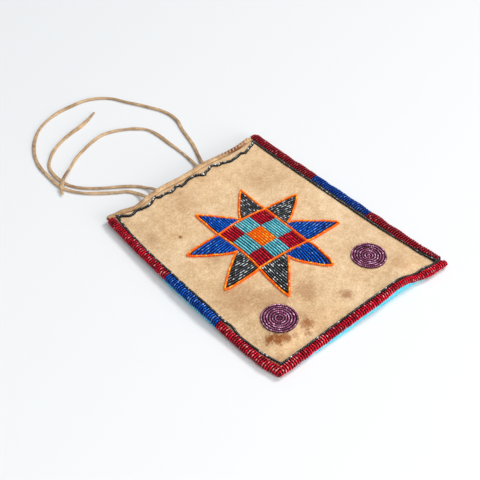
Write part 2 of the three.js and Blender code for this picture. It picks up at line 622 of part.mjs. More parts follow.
// Edging: three stretches up each side, and one along the foot
const sideFoot = (x) => footEdge(x) + LIP + EDGING_CORNER_GAP;
const sides = [
  ['left', leftPoint, sideFoot(-LEFT_FOOT), LEFT_BLUE_MIDDLE, TOP - LEFT_EDGING_STOP, EDGING_SECTION],
  ['right', rightPoint, sideFoot(RIGHT_FOOT), RIGHT_BLUE_MIDDLE, TOP - EDGING_MOUTH_STOP, RIGHT_SECTION],
];
for (const [side, edgePoint, foot, middle, mouth, section] of sides) {
  const low = middle - BLUE_BAND / 2;
  const high = middle + BLUE_BAND / 2;
  add(`${side}_edging_lower_red`, edging(edgePoint, foot, low - GAP / 2, section), redBead);
  add(`${side}_edging_blue`, edging(edgePoint, low + GAP / 2, high - GAP / 2, section), blueBead);
  add(`${side}_edging_upper_red`, edging(edgePoint, high + GAP / 2, mouth, section), redBead);
}
add('foot_edging_red', edging(footPoint, leftEdge(-TOP) + 1, rightEdge(-TOP) - 0.1), redBead);

// Dark bead lines inside the edging and below the mouth
const mouthLine = MOUTH_LINE.map(([x, drop]) => [x, TOP - drop]);
const lineFoot = (x) => footEdge(x) + LINE_INSET;
const lineRows = backRows.slice(2, -2);
const sideLine = (column, mouth) => [(x) => lineFoot(x) + LINE + GAP, ...lineRows, () => mouth]
  .map((row) => crossing(column, row));
const lineColumns = [
  (y) => leftEdge(y) + LINE_INSET, ...backColumns.slice(2, -2), (y) => rightEdge(y) - RIGHT_LINE_INSET,
];
add('left_bead_line', beadLine(sideLine(lineColumns[0], mouthLine[0][1] - LINE)), darkBead);
add('right_bead_line', beadLine(sideLine(lineColumns.at(-1), mouthLine.at(-1)[1] + LINE)), darkBead);
add('foot_bead_line', beadLine(lineColumns.map((column) => crossing(column, lineFoot))), darkBead);
add('mouth_bead_line', beadLine(mouthLine), darkBead);

// Star
const pointNames = ['top_left', 'top_right', 'right_upper', 'right_lower',
  'bottom_right', 'bottom_left', 'left_lower', 'left_upper'];
starPoints.forEach((point, k) => {
  const blue = [0, 3, 4, 7].includes(k);
  add(`star_point_${pointNames[k]}`, starPoint(point), blue ? blueBead : darkBead);
});
const clear = LINE / 2 + GAP;
const columns = [STAR_CORNERS[0][0] + clear, ...CHECKER_COLUMNS, STAR_CORNERS[1][0] - clear];
const rows = [STAR_CORNERS[3][1] + clear, ...CHECKER_ROWS, STAR_CORNERS[1][1] - clear];
const rowNames = ['bottom', 'middle', 'top'];
const columnNames = ['left', 'middle', 'right'];
rowNames.forEach((rowName, j) => columnNames.forEach((columnName, i) => {
  const corner = i !== 1 && j !== 1;
  const centre = i === 1 && j === 1;
  const material = centre ? orangeBead : corner ? redBead : turquoiseBead;
  add(`checker_${rowName}_${columnName}`, checkerSquare(
    columns[i] + GAP / 2, columns[i + 1] - GAP / 2, rows[j] + GAP / 2, rows[j + 1] - GAP / 2), material);
}));
add('star_outline', starOutline(), orangeBead);

// Rosettes
for (const [side, place] of Object.entries(ROSETTES)) {
  add(`rosette_${side}`, rosette(place), purpleBead);
}

// Thong
add('carry_loop', thong(CARRY_LOOP), thongHide);
add('right_tail', thong(RIGHT_TAIL), thongHide);
add('left_tail', thong(LEFT_TAIL), thongHide);

export default bag;
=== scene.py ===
# %% [markdown]
# # A beaded flat bag
# The bag is two pieces of soft tanned hide sewn into a pocket. Its front is covered with light-blue
# beads and lies on the table. Its back is plain hide with a star and two rosettes, and it faces up.
# The packed model comes first, because each piece made here lies where its solid does.

# %% Load the packed model
import bisect
import math
import random

import bmesh
import bpy
from mathutils import Matrix, Vector, noise


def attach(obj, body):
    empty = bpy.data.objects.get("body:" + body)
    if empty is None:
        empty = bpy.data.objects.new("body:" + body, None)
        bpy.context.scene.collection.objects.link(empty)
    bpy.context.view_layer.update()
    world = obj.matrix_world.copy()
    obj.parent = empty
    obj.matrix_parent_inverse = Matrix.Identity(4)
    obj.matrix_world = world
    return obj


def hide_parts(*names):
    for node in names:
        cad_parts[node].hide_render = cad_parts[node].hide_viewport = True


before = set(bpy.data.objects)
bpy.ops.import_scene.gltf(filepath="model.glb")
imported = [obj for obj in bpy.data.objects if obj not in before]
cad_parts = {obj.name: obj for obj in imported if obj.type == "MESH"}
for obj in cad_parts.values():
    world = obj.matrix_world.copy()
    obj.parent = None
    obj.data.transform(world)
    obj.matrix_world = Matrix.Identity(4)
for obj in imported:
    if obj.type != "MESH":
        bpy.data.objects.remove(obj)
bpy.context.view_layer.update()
MM = 0.001
print("nodes:", len(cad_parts))

# %% [markdown]
# ## Camera
# The photograph looks down on the bag from its lower left corner. A wide lens close by could frame it too,
# but a long one keeps the far edge nearly as wide as the near one. Its place comes from the bag's corners.


# %% Camera
def placed(name, data):
    """A new object in the scene."""
    thing = bpy.data.objects.new(name, data)
    bpy.context.scene.collection.objects.link(thing)
    return thing


camera = placed("camera", bpy.data.cameras.new("camera"))
camera.data.lens = 82.5
camera.data.sensor_width = 36
camera.data.clip_start = 0.01
camera.location = Vector((-436.46, -474.07, 616.61)) * MM
looking_at = Vector((-20.18, 12.75, 10.6)) * MM
camera.rotation_euler = (looking_at - camera.location).to_track_quat("-Z", "Y").to_euler()
bpy.context.scene.camera = camera
print("camera to bag:", round((looking_at - camera.location).length, 3))

# %% [markdown]
# ## Shader maths in Python
# A finish is a tree of nodes, and most of its nodes are sums and products. Linking each by hand is slow to
# read. This class wraps one socket instead, so that a sum of two is written as a sum and adds a Math node.


# %% A socket for sums and products
class Wire:
    """One output of a finish's nodes. Arithmetic on it adds Math nodes."""

    def __init__(self, tree, socket=None):
        self.tree = tree
        self.socket = socket

    def make(self, kind, settings=(), sockets=(), output=0):
        """A node of any kind: its settings first, then the values or wires of its sockets."""
        node = self.tree.nodes.new(kind)
        for name, value in dict(settings).items():
            setattr(node, name, value)
        for name, value in dict(sockets).items():
            if isinstance(value, Wire):
                self.tree.links.new(value.socket, node.inputs[name])
            else:
                node.inputs[name].default_value = value
        return Wire(self.tree, node.outputs[output] if node.outputs else None)

    def math(self, operation, first, second):
        return self.make("ShaderNodeMath", {"operation": operation}, {0: first, 1: second})

    def __add__(self, other):
        return self.math("ADD", self, other)

    __radd__ = __add__

    def __sub__(self, other):
        return self.math("SUBTRACT", self, other)

    def __rsub__(self, other):
        return self.math("SUBTRACT", other, self)

    def __mul__(self, other):
        return self.math("MULTIPLY", self, other)

    __rmul__ = __mul__

    def clamped(self):
        return self.make("ShaderNodeClamp", sockets={"Value": self})

    def between(self, low, high):
        """0 below low, 1 above high, and smooth between them."""
        ends = {"Value": self, "From Min": low, "From Max": high}
        return self.make("ShaderNodeMapRange", {"interpolation_type": "SMOOTHSTEP"}, ends)

    def grain(self, scale, detail, roughness=0.55):
        """Cloudy noise at this place, from 0 to 1."""
        values = {"Vector": self, "Scale": scale, "Detail": detail, "Roughness": roughness}
        return self.make("ShaderNodeTexNoise", sockets=values)

    def stretched(self, x, y, z):
        return self.make("ShaderNodeVectorMath", {"operation": "MULTIPLY"}, {0: self, 1: (x, y, z)})

    def written(self, name):
        """A value that is written on the points of the piece."""
        return self.make("ShaderNodeAttribute", {"attribute_name": name}, (), "Fac")

    def ramp(self, *stops):
        """The colour for this value, from (position, colour) stops."""
        ramp = self.make("ShaderNodeValToRGB", sockets={"Fac": self})
        elements = ramp.socket.node.color_ramp.elements
        while len(elements) < len(stops):
            elements.new(0.5)
        for element, (position, colour) in zip(elements, stops):
            element.position = position
            element.color = colour
        return ramp

    def tinted(self, colour, amount):
        """This colour with another mixed into it."""
        return self.make("ShaderNodeMix", {"data_type": "RGBA"}, {0: amount, 6: self, 7: colour}, 2)


print("parts of a wire:", len(vars(Wire)))


# %% Start and end of a finish
def srgb(red, green, blue):
    """A colour read off a screen, as the linear colour that a shader needs."""
    linear = []
    for part in (red / 255, green / 255, blue / 255):
        linear.append(part / 12.92 if part <= 0.04045 else ((part + 0.055) / 1.055) ** 2.4)
    return (*linear, 1.0)


def new_finish(name):
    """An empty material, and a wire that reads places on the object in metres."""
    finish = bpy.data.materials.new(name)
    finish.use_nodes = True
    finish.node_tree.nodes.clear()
    return finish, Wire(finish.node_tree).make("ShaderNodeTexCoord", output="Object")


def coat_surface(at, sockets, bump=None, depth=0.0):
    """Ends a finish with its surface shader and, if given, a bump so many metres deep."""
    if bump is not None:
        height = {"Height": bump, "Distance": depth, "Strength": 1.0}
        sockets = {**sockets, "Normal": at.make("ShaderNodeBump", sockets=height)}
    surface = at.make("ShaderNodeBsdfPrincipled", sockets=sockets)
    at.make("ShaderNodeOutputMaterial", sockets={"Surface": surface})


print("mid grey for a shader:", round(srgb(128, 128, 128)[0], 3))

# %% [markdown]
# ## Thong
# A soft thong of cut hide runs through the mouth. It makes one carrying loop and leaves two loose tails on
# the table. A flat strip could be swept as a mesh, but a curve with a rounded section keeps its middle
# line, so its length can be measured and its width can vary from point to point, as that of cut hide does.

# %% Thong finish
thong_finish, at = new_finish("thong hide")
fibre = at.stretched(1, 1, 3).grain(420, 4)
blotch = at.grain(60, 2)
colour = (0.55 * blotch + 0.45 * fibre).ramp((0.32, srgb(118, 82, 48)), (0.68, srgb(214, 180, 138)))
coat_surface(at, {"Base Color": colour, "Roughness": 0.85, "Sheen Weight": 0.15}, fibre, 0.0004)
print("finish:", thong_finish.name)

# %% Thong routes
# Height of the places that lie on the table
ON_TABLE = 1.1
CARRY_LOOP = [
    (19, 84, 5.6), (19, 96, 5.9), (19.5, 104, 6.2), (21.4, 109.5, 5.6), (24.8, 117, 2.4), (29.4, 128),
    (35.1, 142.3), (41.6, 166), (46.6, 181), (46, 196), (37.3, 215.8), (27.4, 233.6), (19.6, 247.3),
    (9.7, 255.7), (-1.1, 260.2), (-16, 261.2), (-30, 260.7), (-44, 257.3), (-56.3, 251.2), (-67.5, 241.5),
    (-76.7, 229.2), (-83.6, 215.3), (-86.6, 203.3), (-87.7, 190.5), (-88, 175), (-86.2, 165.4),
    (-78.6, 153.2), (-67, 142.4), (-55, 133.6), (-47.6, 128.6), (-43.6, 122, 1.4), (-42.4, 114, 3.6),
    (-42.6, 107.5, 5.8), (-43, 101, 6), (-43, 94, 5.8), (-43, 84, 5.6),
]
RIGHT_TAIL = [
    (11.5, 84, 5.6), (11.5, 96, 5.9), (12.2, 104, 6.2), (14.8, 109.5, 5.6), (18.2, 117, 2.5), (20, 128),
    (20.6, 142), (20.2, 158), (19.8, 174.2), (17, 186.8), (10.3, 194.1), (1.4, 200.4), (-9.1, 204.9),
    (-18, 206.6), (-29.5, 204.8), (-42.7, 200.2), (-54.6, 194.8), (-66.5, 186.8, 1.4), (-74, 181.4, 2.5),
    (-80, 176.8, 3.2), (-85, 171.6, 3.2), (-89.4, 165.9, 3), (-92.4, 160.4, 2.2),
]
LEFT_TAIL = [
    (-31.5, 84, 5.6), (-31.5, 95, 5.9), (-31.2, 101, 6.2), (-30.4, 107.5, 6), (-30.4, 114, 4),
    (-32.4, 121, 1.8), (-36.6, 128), (-46, 136), (-59, 144.8), (-70, 153.4), (-77.8, 162), (-81.8, 171),
    (-83.2, 180), (-82.8, 189.6), (-80.4, 199), (-73.4, 208.4), (-64.2, 216.2), (-52, 222.7),
    (-37.2, 227.5), (-26, 230), (-16.2, 233.6), (-4.6, 239.1),
]
STRANDS = [
    ("thong_loop", CARRY_LOOP, "carry_loop", "object"),
    ("thong_tail_right", RIGHT_TAIL, "right_tail", "bare"),
    ("thong_tail_left", LEFT_TAIL, "left_tail", "bare"),
]
print("strands:", len(STRANDS))

# %% Thong strands
THONG_WIDTH = 3.4
THONG_THICKNESS = 1.7
BARE_RADII = (1.2, 0.95, 0.55)


def lay_thong(name, route, node, far_end, seed):
    """One strand: a curve whose section in millimetres is scaled by the radius at each point."""
    chance = random.Random(seed)
    curve = bpy.data.curves.new(name, "CURVE")
    curve.dimensions = "3D"
    curve.twist_mode = "Z_UP"
    curve.resolution_u = 8
    curve.bevel_depth = THONG_THICKNESS / 2
    curve.bevel_resolution = 2
    curve.extrude = (THONG_WIDTH - THONG_THICKNESS) / 2
    curve.use_fill_caps = True
    spline = curve.splines.new("BEZIER")
    spline.bezier_points.add(len(route) - 1)
    for point, place in zip(spline.bezier_points, route):
        point.co = Vector((*place, ON_TABLE)[:3]) * MM
        point.handle_left_type = "AUTO"
        point.handle_right_type = "AUTO"
        point.tilt = math.pi / 2 + chance.uniform(-0.3, 0.3)
        point.radius = chance.uniform(0.76, 1.04) * MM
    strand = placed(name, curve)
    curve.materials.append(thong_finish)
    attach(strand, "root")
    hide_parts(node)
    if far_end == "bare":
        for point, radius in zip(spline.bezier_points[-3:], BARE_RADII):
            point.radius = radius * MM
    return strand, spline.calc_length()


for seed, (name, route, node, far_end) in enumerate(STRANDS):
    strand, length = lay_thong(name, route, node, far_end, seed)
    print(name, "length in mm:", round(length / MM))

# %% [markdown]
# ## Outline and heights
# Every piece of the bag follows the same edges: the two sides, the foot and the mouth. Each could be drawn
# as a curve object, but a function can be asked for any place, so each is a smooth line through a few sizes
# in millimetres. The back is nearly flat and falls to the seam at its edges, and the seam itself rises off
# the table along the foot.


# %% Smooth lines
def clipped(value):
    return min(max(value, 0.0), 1.0)


def fade(distance, reach):
    """1 at no distance, 0 from the reach on, and smooth between them."""
    t = clipped(distance / reach)
    return (1 - t) ** 2 * (1 + 2 * t)


def through(knots, at):
    """A smooth line through (position, value) knots."""
    at = min(max(at, knots[0][0]), knots[-1][0])
    k = min(bisect.bisect_right([spot for spot, value in knots], at), len(knots) - 1)
    (start, low), (end, high) = knots[k - 1], knots[k]
    before = knots[max(k - 2, 0)]
    after = knots[min(k + 1, len(knots) - 1)]
    run = end - start
    s = (at - start) / run
    slope_in = run * (high - before[1]) / (end - before[0])
    slope_out = run * (after[1] - low) / (after[0] - start)
    ease = s * s * (3 - 2 * s)
    return low + (high - low) * ease + slope_in * s * (1 - s) ** 2 - slope_out * s * s * (1 - s)


def through_three(start, middle, end, s):
    """A smooth line through three values, at the shares 0, a half and 1."""
    return start * (1 - s) * (1 - 2 * s) + 4 * middle * s * (1 - s) + end * s * (2 * s - 1)


print("half way along a fade:", fade(1, 2))

# %% Edges of the bag
LENGTH = 222.3
TOP = LENGTH / 2
# Distances of the sides from the middle, at the foot, at half length and at the mouth
LEFT_SIDE = (90.2, 91.6, 85.0)
RIGHT_SIDE = (92.0, 86.7, 84.0)
# How far the lower left corner is drawn in, and up to how far along the side
CORNER_PULL = 2.6
CORNER_REACH = 22
# Distances of the foot and the mouth from the ends of the bag
FOOT_RISE = (1.6, 2.6, 0.0)
MOUTH_DROP = [(0, 2.4), (0.08, 5.4), (0.155, 8.6), (0.225, 8.2), (0.315, 6.2), (0.43, 7.3), (0.5, 7.2),
              (0.61, 5.8), (0.68, 6.5), (0.76, 7), (0.85, 5), (0.935, 1.4), (1, 0.4)]


def side_share(y):
    return (y + TOP) / LENGTH


def left_edge(y):
    return -through_three(*LEFT_SIDE, side_share(y)) + CORNER_PULL * fade(y + TOP, CORNER_REACH)


def right_edge(y):
    return through_three(*RIGHT_SIDE, side_share(y))


def foot_share(x):
    return (x + LEFT_SIDE[0]) / (LEFT_SIDE[0] + RIGHT_SIDE[0])


def foot_edge(x):
    return -TOP + through_three(*FOOT_RISE, foot_share(x))


def mouth_share(x):
    return (x + LEFT_SIDE[2]) / (LEFT_SIDE[2] + RIGHT_SIDE[2])


def mouth_edge(x):
    return TOP - through(MOUTH_DROP, mouth_share(x))


print("mouth edge at the middle:", round(mouth_edge(0), 1))

# %% Seam heights
# Height of the seam where it lies lowest, and how far it lifts along each edge
LOW_SEAM = 3.35
LEFT_LIFT = [(0, 0.3), (0.25, 0.9), (0.36, 3.2), (0.5, 3), (0.62, 2.6), (0.75, 2.1), (1, 1.7)]
RIGHT_LIFT = [(0, 0.3), (0.25, 1.8), (0.36, 2.3), (0.5, 2.6), (0.62, 2.6), (0.75, 2.5), (1, 2.2)]
FOOT_LIFT = [(0, 0.3), (0.16, 0.7), (0.28, 1.9), (0.4, 3.2), (0.5, 4.4), (0.62, 5.4), (0.71, 6.7),
             (0.765, 5.6), (0.805, 2.8), (0.845, 1.1), (1, 0.3)]


def left_seam(y):
    return LOW_SEAM + through(LEFT_LIFT, side_share(y))


def right_seam(y):
    return LOW_SEAM + through(RIGHT_LIFT, side_share(y))


def foot_seam(x):
    return LOW_SEAM + through(FOOT_LIFT, foot_share(x))


print("seam at the middle of the foot:", round(foot_seam(0), 1))

# %% Heights of the back
HIDE = 1.1
# How far in from the outside the back leaves the seam, and how far it then takes to level off
LIP = 6.6
RIGHT_LIP = 8.8
EASE = 20
MOUTH_EASE = 40
SEAM_GAP = 0.15
CORNER_GAP = 0.45
# Heights of the back's underside, in the middle and along the mouth
CEILING = 8.5
MOUTH_RISE = [(0, 5.2), (0.055, 5.2), (0.09, 6.5), (0.16, 6.5), (0.22, 8.6), (0.31, 9.1), (0.43, 10.1),
              (0.56, 10.7), (0.66, 10.7), (0.76, 10.1), (0.85, 8.8), (0.93, 6.8), (0.945, 5.7), (1, 5.7)]


def ripple(x, y, layer):
    """Smooth noise from about -1 to 1."""
    return noise.noise(Vector((x, y, layer)))


def back_top(x, y):
    """Height of the back: a flat middle with soft dents, which eases to the seam and the mouth."""
    left = fade(x - left_edge(y) - LIP, EASE)
    right = fade(right_edge(y) - x - RIGHT_LIP, EASE)
    foot = fade(y - foot_edge(x) - LIP, EASE)
    mouth = fade(mouth_edge(x) - y, MOUTH_EASE)
    pulls = [
        (left, left_seam(y) + SEAM_GAP), (right, right_seam(y) + SEAM_GAP), (foot, foot_seam(x) + SEAM_GAP),
        (mouth, through(MOUTH_RISE, mouth_share(x))), (-foot * (left + right), LOW_SEAM + CORNER_GAP),
        (-mouth * left, MOUTH_RISE[0][1]), (-mouth * right, MOUTH_RISE[-1][1]),
    ]
    under = CEILING + sum(share * (height - CEILING) for share, height in pulls)
    free = (1 - left) * (1 - right) * (1 - foot)
    dents = 0.45 * ripple(x * 0.03, y * 0.03, 2) + 0.2 * ripple(x * 0.09, y * 0.09, 7)
    return under + HIDE + free * dents


print("back of the bag at its middle:", round(back_top(0, 0), 1))

# %% [markdown]
# ## Hide
# The hide is soft, pale and tanned, with its flesh side out. It has a cloudy colour, a fine nap and some
# brown stains, and painted shade, near black, along the seams and under the beads. A painted picture could
# carry them, but noise and soft round masks, placed on the object in millimetres, need no picture and stay
# put from every side.

# %% Hide finish
STAIN_HEIGHT = 9.5
# Middle, radius, raggedness and strength of each stain
STAINS = [
    ((-71, -80), 8, 2.1, 0.95), ((-66, -84), 8, 2.1, 0.95), ((-61, -87), 7, 2.1, 0.85),
    ((-54, -90), 5, 1.6, 0.4), ((-45, -94), 6, 2.1, 0.7), ((-40, -87), 8, 2.1, 0.85),
    ((-37, -79), 7, 1.6, 0.35), ((3, -85), 8, 1.8, 0.65), ((-53.7, 47.4), 2.9, 0.5, 0.95),
    ((-64, -34), 26, 1.5, 0.3), ((-45, -54), 20, 1.5, 0.4), ((-18, -62), 15, 1.6, 0.4),
    ((-74, 60), 14, 1.5, 0.25), ((76, -50), 60, 1.0, 0.13), ((44, 60), 26, 1.5, 0.2),
    ((-25, 80), 22, 1.5, 0.2), ((-48, 12), 14, 1.5, 0.35), ((60, -88), 16, 1.5, 0.25),
    ((-78, -96), 9, 1.6, 0.5),
]


def stain(at, centre, radius, ragged, scale=420):
    """1 in the middle of a round stain and 0 outside, with a ragged rim."""
    middle = Vector((*centre, STAIN_HEIGHT)) * MM
    away = at.make("ShaderNodeVectorMath", {"operation": "DISTANCE"}, {0: at, 1: middle}, 1)
    rim = away + (at.grain(scale, 6, 0.7) - 0.5) * (ragged * radius * MM)
    return 1 - rim.between(0.15 * radius * MM, radius * MM)


hide_finish, at = new_finish("tanned hide")
cloud = at.grain(22, 3)
patch = at.grain(110, 7, 0.75)
nap = at.grain(760, 6, 0.78)
colour = (0.2 * cloud + 0.3 * patch + 0.5 * nap).ramp(
    (0.375, srgb(178, 136, 92)), (0.5, srgb(213, 178, 136)), (0.625, srgb(238, 213, 177)))
for centre, radius, ragged, strength in STAINS:
    colour = colour.tinted(srgb(136, 74, 24), stain(at, centre, radius, ragged) * strength)
# Painted shade: near black where the edging and the beads cover the hide, so the gaps between them look
# shaded
colour = colour.tinted(srgb(22, 15, 12), at.written("painted_shade") * 0.95)
relief = 0.6 * nap + 0.3 * at.grain(2400, 2) + 0.5 * at.grain(120, 3)
coat_surface(at, {"Base Color": colour, "Roughness": 0.92, "Specular IOR Level": 0.25, "Sheen Weight": 0.1},
             relief, 0.0005)
print("finish:", hide_finish.name, "with", len(STAINS), "stains")

# %% [markdown]
# ## Panels
# Each panel is one sheet of hide. A grid from bmesh is bent to the outline and then given the thickness of
# the hide. A cloth simulation could sag it, but the pocket is empty and the seams hold it, so its dents are
# given.


# %% Pieces and sheets
def mesh_from(name, bm):
    """A new mesh with the faces of a bmesh, which is freed."""
    mesh = bpy.data.meshes.new(name)
    bm.to_mesh(mesh)
    bm.free()
    return mesh


def add_piece(name, bm, finish, nodes):
    """Makes a bmesh an object that stands for its solids."""
    mesh = mesh_from(name, bm)
    mesh.materials.append(finish)
    mesh.shade_smooth()
    piece = placed(name, mesh)
    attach(piece, "root")
    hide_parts(*nodes)
    print(name, "faces:", len(mesh.polygons))
    return piece


def bent_sheet(columns, rows, place, thickness):
    """A grid whose points are moved by place(u, v), from 0 to 1, and then thickened downwards."""
    bm = bmesh.new()
    bmesh.ops.create_grid(bm, x_segments=columns, y_segments=rows, size=0.5)
    for vert in bm.verts:
        vert.co = Vector(place(vert.co.x + 0.5, vert.co.y + 0.5)) * MM
    bmesh.ops.recalc_face_normals(bm, faces=bm.faces)
    if sum(face.normal.z for face in bm.faces) < 0:
        bmesh.ops.reverse_faces(bm, faces=bm.faces)
    bmesh.ops.solidify(bm, geom=bm.faces, thickness=thickness * MM)
    bmesh.ops.recalc_face_normals(bm, faces=bm.faces)
    return bm


def write_values(piece, name, values):
    """Writes one value on each point of a piece, for its finish to read."""
    piece.data.attributes.new(name, "FLOAT", "POINT").data.foreach_set("value", values)


def mark_painted_shade(piece, painted_shade):
    """Writes how much painted shade each point of a piece gets."""
    write_values(piece, "painted_shade", [painted_shade(vert.co.x / MM, vert.co.y / MM) for vert in piece.data.vertices])


print("thickness of a sheet in mm:", HIDE)

# %% Back panel
PANEL_INSET = 2.4


def on_panel(u, v):
    """Where a share across and a share up fall on a panel."""
    x = 0.0
    for _ in range(4):
        y = (1 - v) * (foot_edge(x) + PANEL_INSET) + v * mouth_edge(x)
        x = (1 - u) * (left_edge(y) + PANEL_INSET) + u * (right_edge(y) - PANEL_INSET)
    return x, y


def back_place(u, v):
    x, y = on_panel(u, v)
    return x, y, back_top(x, y)


back_sheet = bent_sheet(130, 156, back_place, HIDE)
back_panel = add_piece("back_hide", back_sheet, hide_finish, ["back_panel"])

# %% Front panel
FRONT_TOP = 3.2
# Share of its rise that the panel has reached, by the distance in from the outside
FRONT_WALL = [(4.4, 1), (5.0, 0.98), (5.8, 0.3), (9, 0.03), (12, 0)]
# Width of the painted shade along the seams, the part of it that fades, and how much wider it is on the right
SEAM_SHADE_WIDTH = 8.4
SEAM_SHADE_FADE = 1.6
SEAM_SHADE_RIGHT = 1.2


def crowded(share):
    """Moves shares towards both ends, so that narrow edges get more points."""
    return share - math.sin(2 * math.pi * share) / (2 * math.pi) * 0.8


def front_place(u, v):
    x, y = on_panel(crowded(u), crowded(v))
    walls = [(x - left_edge(y), left_seam(y)), (right_edge(y) - x, right_seam(y)),
             (y - foot_edge(x), foot_seam(x))]
    rise = max(through(FRONT_WALL, inward) * (seam - LOW_SEAM) for inward, seam in walls)
    return x, y, FRONT_TOP + rise


def near_seam(x, y):
    """1 under the edging, 0 on the open hide."""
    inside = min(x - left_edge(y), right_edge(y) - x - SEAM_SHADE_RIGHT, y - foot_edge(x))
    return clipped((SEAM_SHADE_WIDTH - inside) / SEAM_SHADE_FADE)


front_sheet = bent_sheet(70, 80, front_place, HIDE)
front_panel = add_piece("front_hide", front_sheet, hide_finish, ["front_panel"])
# Painted shade on the front, under the edging
mark_painted_shade(front_panel, near_seam)

# %% [markdown]
# ## Beads
# Seed beads are short glass tubes with rounded rims. One bead is turned from a cone with equal ends, its
# rims are bevelled, and a copy of it is set on every stitch. An array along a curve would set them too, but
# real beads are never alike, so each copy gets its own size, lean and shade. There are thousands of them,
# so each has few faces.


# %% One bead
def turned_bead(name, sides, rim):
    """A bead one unit across and one unit long, along Z."""
    bm = bmesh.new()
    bmesh.ops.create_cone(bm, cap_ends=True, segments=sides, radius1=0.5, radius2=0.5, depth=1.0)
    rims = [edge for edge in bm.edges if abs(edge.verts[0].co.z - edge.verts[1].co.z) < 0.1]
    bmesh.ops.bevel(bm, geom=rims, offset=rim, segments=1, profile=0.5, affect="EDGES", material=-1)
    return mesh_from(name, bm)


fine_bead = turned_bead("fine bead", 8, 0.2)
plain_bead = turned_bead("plain bead", 5, 0.24)
print("faces of a bead:", len(fine_bead.polygons), len(plain_bead.polygons))


# %% Places on a string
def strung(points, spacing, shift=0.0):
    """Places for beads along a line of points: (middle, direction, room)."""
    points = [Vector(point) for point in points]
    lengths = [(b - a).length for a, b in zip(points, points[1:])]
    total = sum(lengths)
    count = max(1, round(total / spacing))
    room = total / count
    places = []
    segment = 0
    passed = 0.0
    for k in range(count):
        target = (k + 0.5 + shift) * room
        while segment < len(lengths) - 1 and passed + lengths[segment] < target:
            passed += lengths[segment]
            segment += 1
        along = (points[segment + 1] - points[segment]).normalized()
        places.append((points[segment] + along * (target - passed), along, room))
    return places


print("beads on 20 mm of string:", len(strung([(0, 0, 0), (20, 0, 0)], 1.62)))

# %% Sewing beads on
# Values on each bead: its own tone, its chance of a painted glint, and how far each point lies to the side of
# its lane, for painted shade
LOOKS = ("shade", "painted_glint", "flank")


def sew_beads(name, strings, kind, nodes, spacing, across, seed, painted_glint_level=1.0, light=1.0, bead=fine_bead):
    """One piece with a bead at each stitch of its strings, and with values for the finish of its kind."""
    finish, slot = kind
    chance = random.Random(seed)
    bm = bmesh.new()
    looks = {look: [] for look in LOOKS}
    for points in strings:
        tone = chance.random()
        run = Vector(points[-1]) - Vector(points[0])
        for middle, along, room in strung(points, spacing, chance.uniform(-0.25, 0.25)):
            jitter = Vector([chance.gauss(0, 0.04) for _ in range(3)])
            lean = (along + Vector([chance.gauss(0, 0.06) for _ in range(3)])).normalized()
            width = across * chance.uniform(0.92, 1.05)
            size = Vector((width, width, room * chance.uniform(0.94, 1.04))) * MM
            spin = Matrix.Rotation(chance.uniform(0, math.pi), 4, "Z")
            turn = lean.to_track_quat("Z", "X").to_matrix().to_4x4() @ spin
            copy = bead.copy()
            copy.transform(turn @ Matrix.Diagonal((*size, 1)))
            # How far each point lies to the side of its lane, read by the finish for painted shade on the
            # flanks
            level = along if along.xy.length > 0.6 else run
            sideways = Vector((level.y, -level.x, 0.0)).normalized()
            count = len(copy.vertices)
            looks["flank"] += [abs(vert.co.dot(sideways)) / (width / 2 * MM) for vert in copy.vertices]
            looks["shade"] += [light * (0.4 * tone + 0.6 * chance.random())] * count
            # Painted glints: a random value per bead, a little higher on strings across the bag, as if they
            # faced the light
            looks["painted_glint"] += [painted_glint_level * chance.random() * (0.92 + 0.08 * abs(along.x))] * count
            copy.transform(Matrix.Translation((middle + jitter) * MM))
            bm.from_mesh(copy)
            bpy.data.meshes.remove(copy)
    piece = add_piece(name, bm, finish, nodes)
    for look, values in looks.items():
        write_values(piece, look, values)


print("values on each bead:", LOOKS)

# %% [markdown]
# ## Glass
# The beads are old glass in seven colours, some of them lustred. No two beads of a string have the same
# shade. Painted shade darkens the flanks of the beads between the strings, and a few beads carry a painted
# white glint. Clear glass would stay noisy in such small beads, so a painted surface with a thin coat reads
# each bead's own values.

# %% Kinds of bead
# Painted shade, near black, on the flanks of the beads between the strings
GAP_SHADE = (0.004, 0.003, 0.003, 1.0)


def bead_kind(name, slot, deep, bright, painted_glint, share, gap_shade, roughness=0.15, metal=0.0, coat=0.1):
    """A finish of glass from a deep to a bright colour, with painted glints on a share of beads and painted
    shade on their flanks, and its slot.
    """
    finish, at = new_finish(name)
    shade, glint_chance, flank = [at.written(look) for look in LOOKS]
    worn = at.grain(500, 2)
    colour = (0.8 * shade + 0.2 * worn).ramp((0.1, srgb(*deep)), (0.9, srgb(*bright)))
    # Painted glint: the crowns of a share of the beads turn the glint colour
    painted_glint_mask = glint_chance.between(1 - 1.6 * share, 1 - 0.4 * share) * (1 - flank.between(0.1, 0.75))
    colour = colour.tinted(srgb(*painted_glint), painted_glint_mask)
    # Painted shade: the flanks of each bead darken towards near black
    colour = colour.tinted(GAP_SHADE, gap_shade * flank.between(0.3, 0.9))
    coat_surface(at, {
        "Base Color": colour, "Roughness": roughness + 0.1 * worn, "Metallic": metal,
        "Specular IOR Level": 0.07 + 0.4 * coat,
        "Coat Weight": coat * (1 - flank.between(0.3, 0.8)), "Coat Roughness": 0.04})
    return finish, slot


